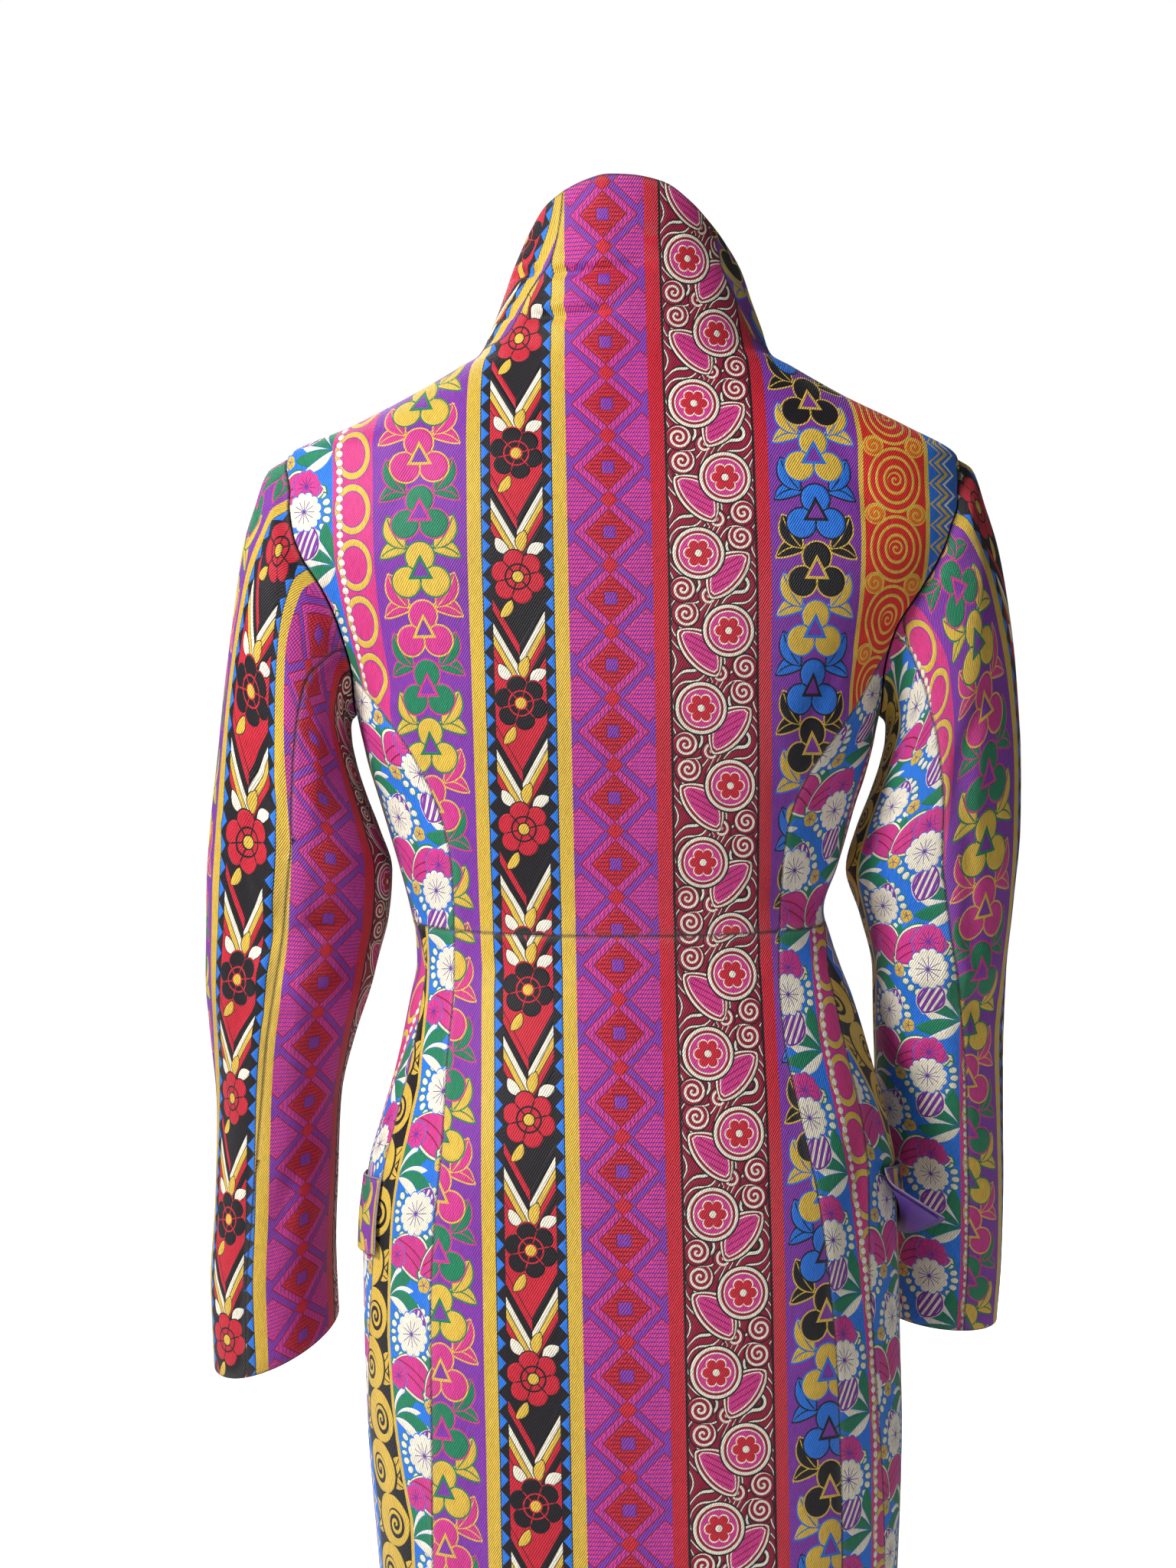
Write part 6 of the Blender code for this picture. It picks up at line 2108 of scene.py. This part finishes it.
def button_material(buttons):
    """Dark polished button with lighter streaks through it."""
    material, tree = new_material("button")
    spot = add_node(tree, "TexCoord", {}).outputs["Object"]
    streaks = Term(tree, noise_of(tree, spot, "3D", **BUTTON_STREAKS))
    share = streaks.blend(0.45, 0.75, 0.0, buttons.mottle)
    base = tuple(buttons.colour)
    light = tuple(min(1.0, channel * 4 + 0.05) for channel in base)
    colour = mix_colours(tree, share, base, light)
    rough = streaks.blend(0.3, 0.8, 0.16, 0.3)
    finish_shader(tree, streaks, 0.2, 0.0002, {
        "Base Color": colour, "Roughness": rough, "Coat Weight": 0.6, "Coat Roughness": 0.08})
    return material


def floor_material():
    """Pale matt floor with a trace of unevenness, which glows a little for the camera."""
    material, tree = new_material("floor")
    share = add_node(tree, "TexNoise", {"Scale": 3.0}).outputs[0]
    colour = mix_colours(tree, share, (0.93, 0.93, 0.93), (0.95, 0.95, 0.95))
    seen = add_node(tree, "LightPath", {}).outputs["Is Camera Ray"]
    spot = add_node(tree, "TexCoord", {}).outputs["Object"]
    far = add_node(tree, "VectorMath", {0: spot}, operation="LENGTH").outputs["Value"]
    glow = Term(tree, seen) * Term(tree, far).blend(*FLOOR_GLOW)
    shader = tree.nodes["Principled BSDF"]
    inputs = {"Base Color": colour, "Roughness": 0.9, "Emission Color": WHITE, "Emission Strength": glow}
    for label, value in inputs.items():
        plug(tree, value, shader.inputs[label])
    return material


def area_light(name, place, size, power):
    """A soft square light aimed at the garment's middle."""
    lamp = bpy.data.lights.new(name, "AREA")
    lamp.size = size
    lamp.energy = power
    light = add_object(name, lamp)
    light.location = place
    aim = Vector(STAGE_MIDDLE) - Vector(place)
    light.rotation_euler = aim.to_track_quat("-Z", "Y").to_euler()


def make_camera(stage):
    """Camera at the photograph's angle."""
    lens = bpy.data.cameras.new("camera")
    lens.sensor_fit = "VERTICAL"
    lens.sensor_height = SENSOR_HEIGHT
    lens.lens = stage.lens
    lens.clip_start = CLIP_START
    camera = add_object("camera", lens)
    camera.location = (CAMERA_X, stage.distance, CAMERA_Z)
    camera.rotation_euler = (math.radians(90), 0.0, math.radians(180))
    bpy.context.scene.camera = camera


def make_room(stage):
    """A room that lights the garment softly and looks white to the camera."""
    world = bpy.data.worlds.new("room")
    world.use_nodes = True
    bpy.context.scene.world = world
    tree = world.node_tree
    seen = Term(tree, add_node(tree, "LightPath", {}).outputs["Is Camera Ray"])
    room = tree.nodes["Background"]
    plug(tree, WHITE, room.inputs["Color"])
    plug(tree, seen * (1.0 - stage.ambient) + stage.ambient, room.inputs["Strength"])


def make_floor(stage):
    """A pale floor under the garment."""
    corners = ((-1, -1), (1, -1), (1, 1), (-1, 1))
    points = [(x * FLOOR_HALF, y * FLOOR_HALF, stage.floor_z) for x, y in corners]
    mesh = bpy.data.meshes.new("floor")
    mesh.from_pydata(points, [], [(0, 1, 2, 3)])
    mesh.materials.append(floor_material())
    add_object("floor", mesh)


def make_stage(stage):
    """Camera at the photograph's angle, soft light from the upper left, and a pale floor."""
    make_camera(stage)
    for name, field, place, size in LIGHTS:
        area_light(name, place, size, getattr(stage, field))
    make_room(stage)
    make_floor(stage)
    bpy.context.scene.view_settings.view_transform = "Standard"


class BLAZER_OT_stage(bpy.types.Operator):
    """Sets up the camera, the lights and the floor"""

    bl_idname = "blazer.stage"
    bl_label = "Stage"

    def execute(self, context):
        make_stage(context.scene.blazer_stage)
        return {"FINISHED"}


class BLAZER_OT_bodice(bpy.types.Operator):
    """Makes the back, side backs and fronts of the bodice, with their collar"""

    bl_idname = "blazer.bodice"
    bl_label = "Bodice"

    def execute(self, context):
        make_back_bodice()
        for side in SIGN:
            make_side_back_bodice(side)
            make_front_bodice(side)
        return {"FINISHED"}


class BLAZER_OT_skirt(bpy.types.Operator):
    """Makes the five panels below the waist seam"""

    bl_idname = "blazer.skirt"
    bl_label = "Skirt"

    def execute(self, context):
        make_skirt()
        return {"FINISHED"}


class BLAZER_OT_sleeves(bpy.types.Operator):
    """Makes the top sleeves and undersleeves"""

    bl_idname = "blazer.sleeves"
    bl_label = "Sleeves"

    def execute(self, context):
        for side in SIGN:
            make_sleeve(side)
        return {"FINISHED"}


class BLAZER_OT_flaps(bpy.types.Operator):
    """Makes the hip flaps and the lining under the lifted one"""

    bl_idname = "blazer.flaps"
    bl_label = "Pocket flaps"

    def execute(self, context):
        make_flaps()
        return {"FINISHED"}


class BLAZER_OT_buttons(bpy.types.Operator):
    """Makes the shank buttons of the centre front"""

    bl_idname = "blazer.buttons"
    bl_label = "Buttons"

    def execute(self, context):
        material = button_material(context.scene.blazer_buttons)
        for number, z in enumerate(BUTTON_Z, start=1):
            make_button(number, z, material)
        return {"FINISHED"}


MAKERS = (
    BLAZER_OT_stage, BLAZER_OT_bodice, BLAZER_OT_skirt, BLAZER_OT_sleeves, BLAZER_OT_flaps,
    BLAZER_OT_buttons,
)


class VIEW3D_PT_blazer(bpy.types.Panel):
    """Lists the blazer's colours, sizes and makers"""

    bl_label = "Blazer"
    bl_space_type = "VIEW_3D"
    bl_region_type = "UI"
    bl_category = "Blazer"

    def draw(self, context):
        layout = self.layout
        for name in ("blazer_cloth", "blazer_buttons", "blazer_stage"):
            group = getattr(context.scene, name)
            box = layout.box()
            for field in group.__annotations__:
                box.prop(group, field)
        for maker in MAKERS:
            layout.operator(maker.bl_idname)


GROUPS_OF_SETTINGS = {
    "blazer_cloth": BlazerCloth, "blazer_buttons": BlazerButtons, "blazer_stage": BlazerStage,
}


def register():
    """Registers the settings, makers and panel."""
    for name, group in GROUPS_OF_SETTINGS.items():
        bpy.utils.register_class(group)
        setattr(bpy.types.Scene, name, bpy.props.PointerProperty(type=group))
    for maker in MAKERS + (VIEW3D_PT_blazer,):
        bpy.utils.register_class(maker)


def unregister():
    """Takes them all out again."""
    for maker in reversed(MAKERS + (VIEW3D_PT_blazer,)):
        bpy.utils.unregister_class(maker)
    for name, group in reversed(list(GROUPS_OF_SETTINGS.items())):
        delattr(bpy.types.Scene, name)
        bpy.utils.unregister_class(group)


def main():
    """Builds everything."""
    register()
    bpy.ops.blazer.stage()
    bpy.ops.blazer.bodice()
    bpy.ops.blazer.skirt()
    bpy.ops.blazer.sleeves()
    bpy.ops.blazer.flaps()
    bpy.ops.blazer.buttons()


if __name__ == "__main__":
    main()
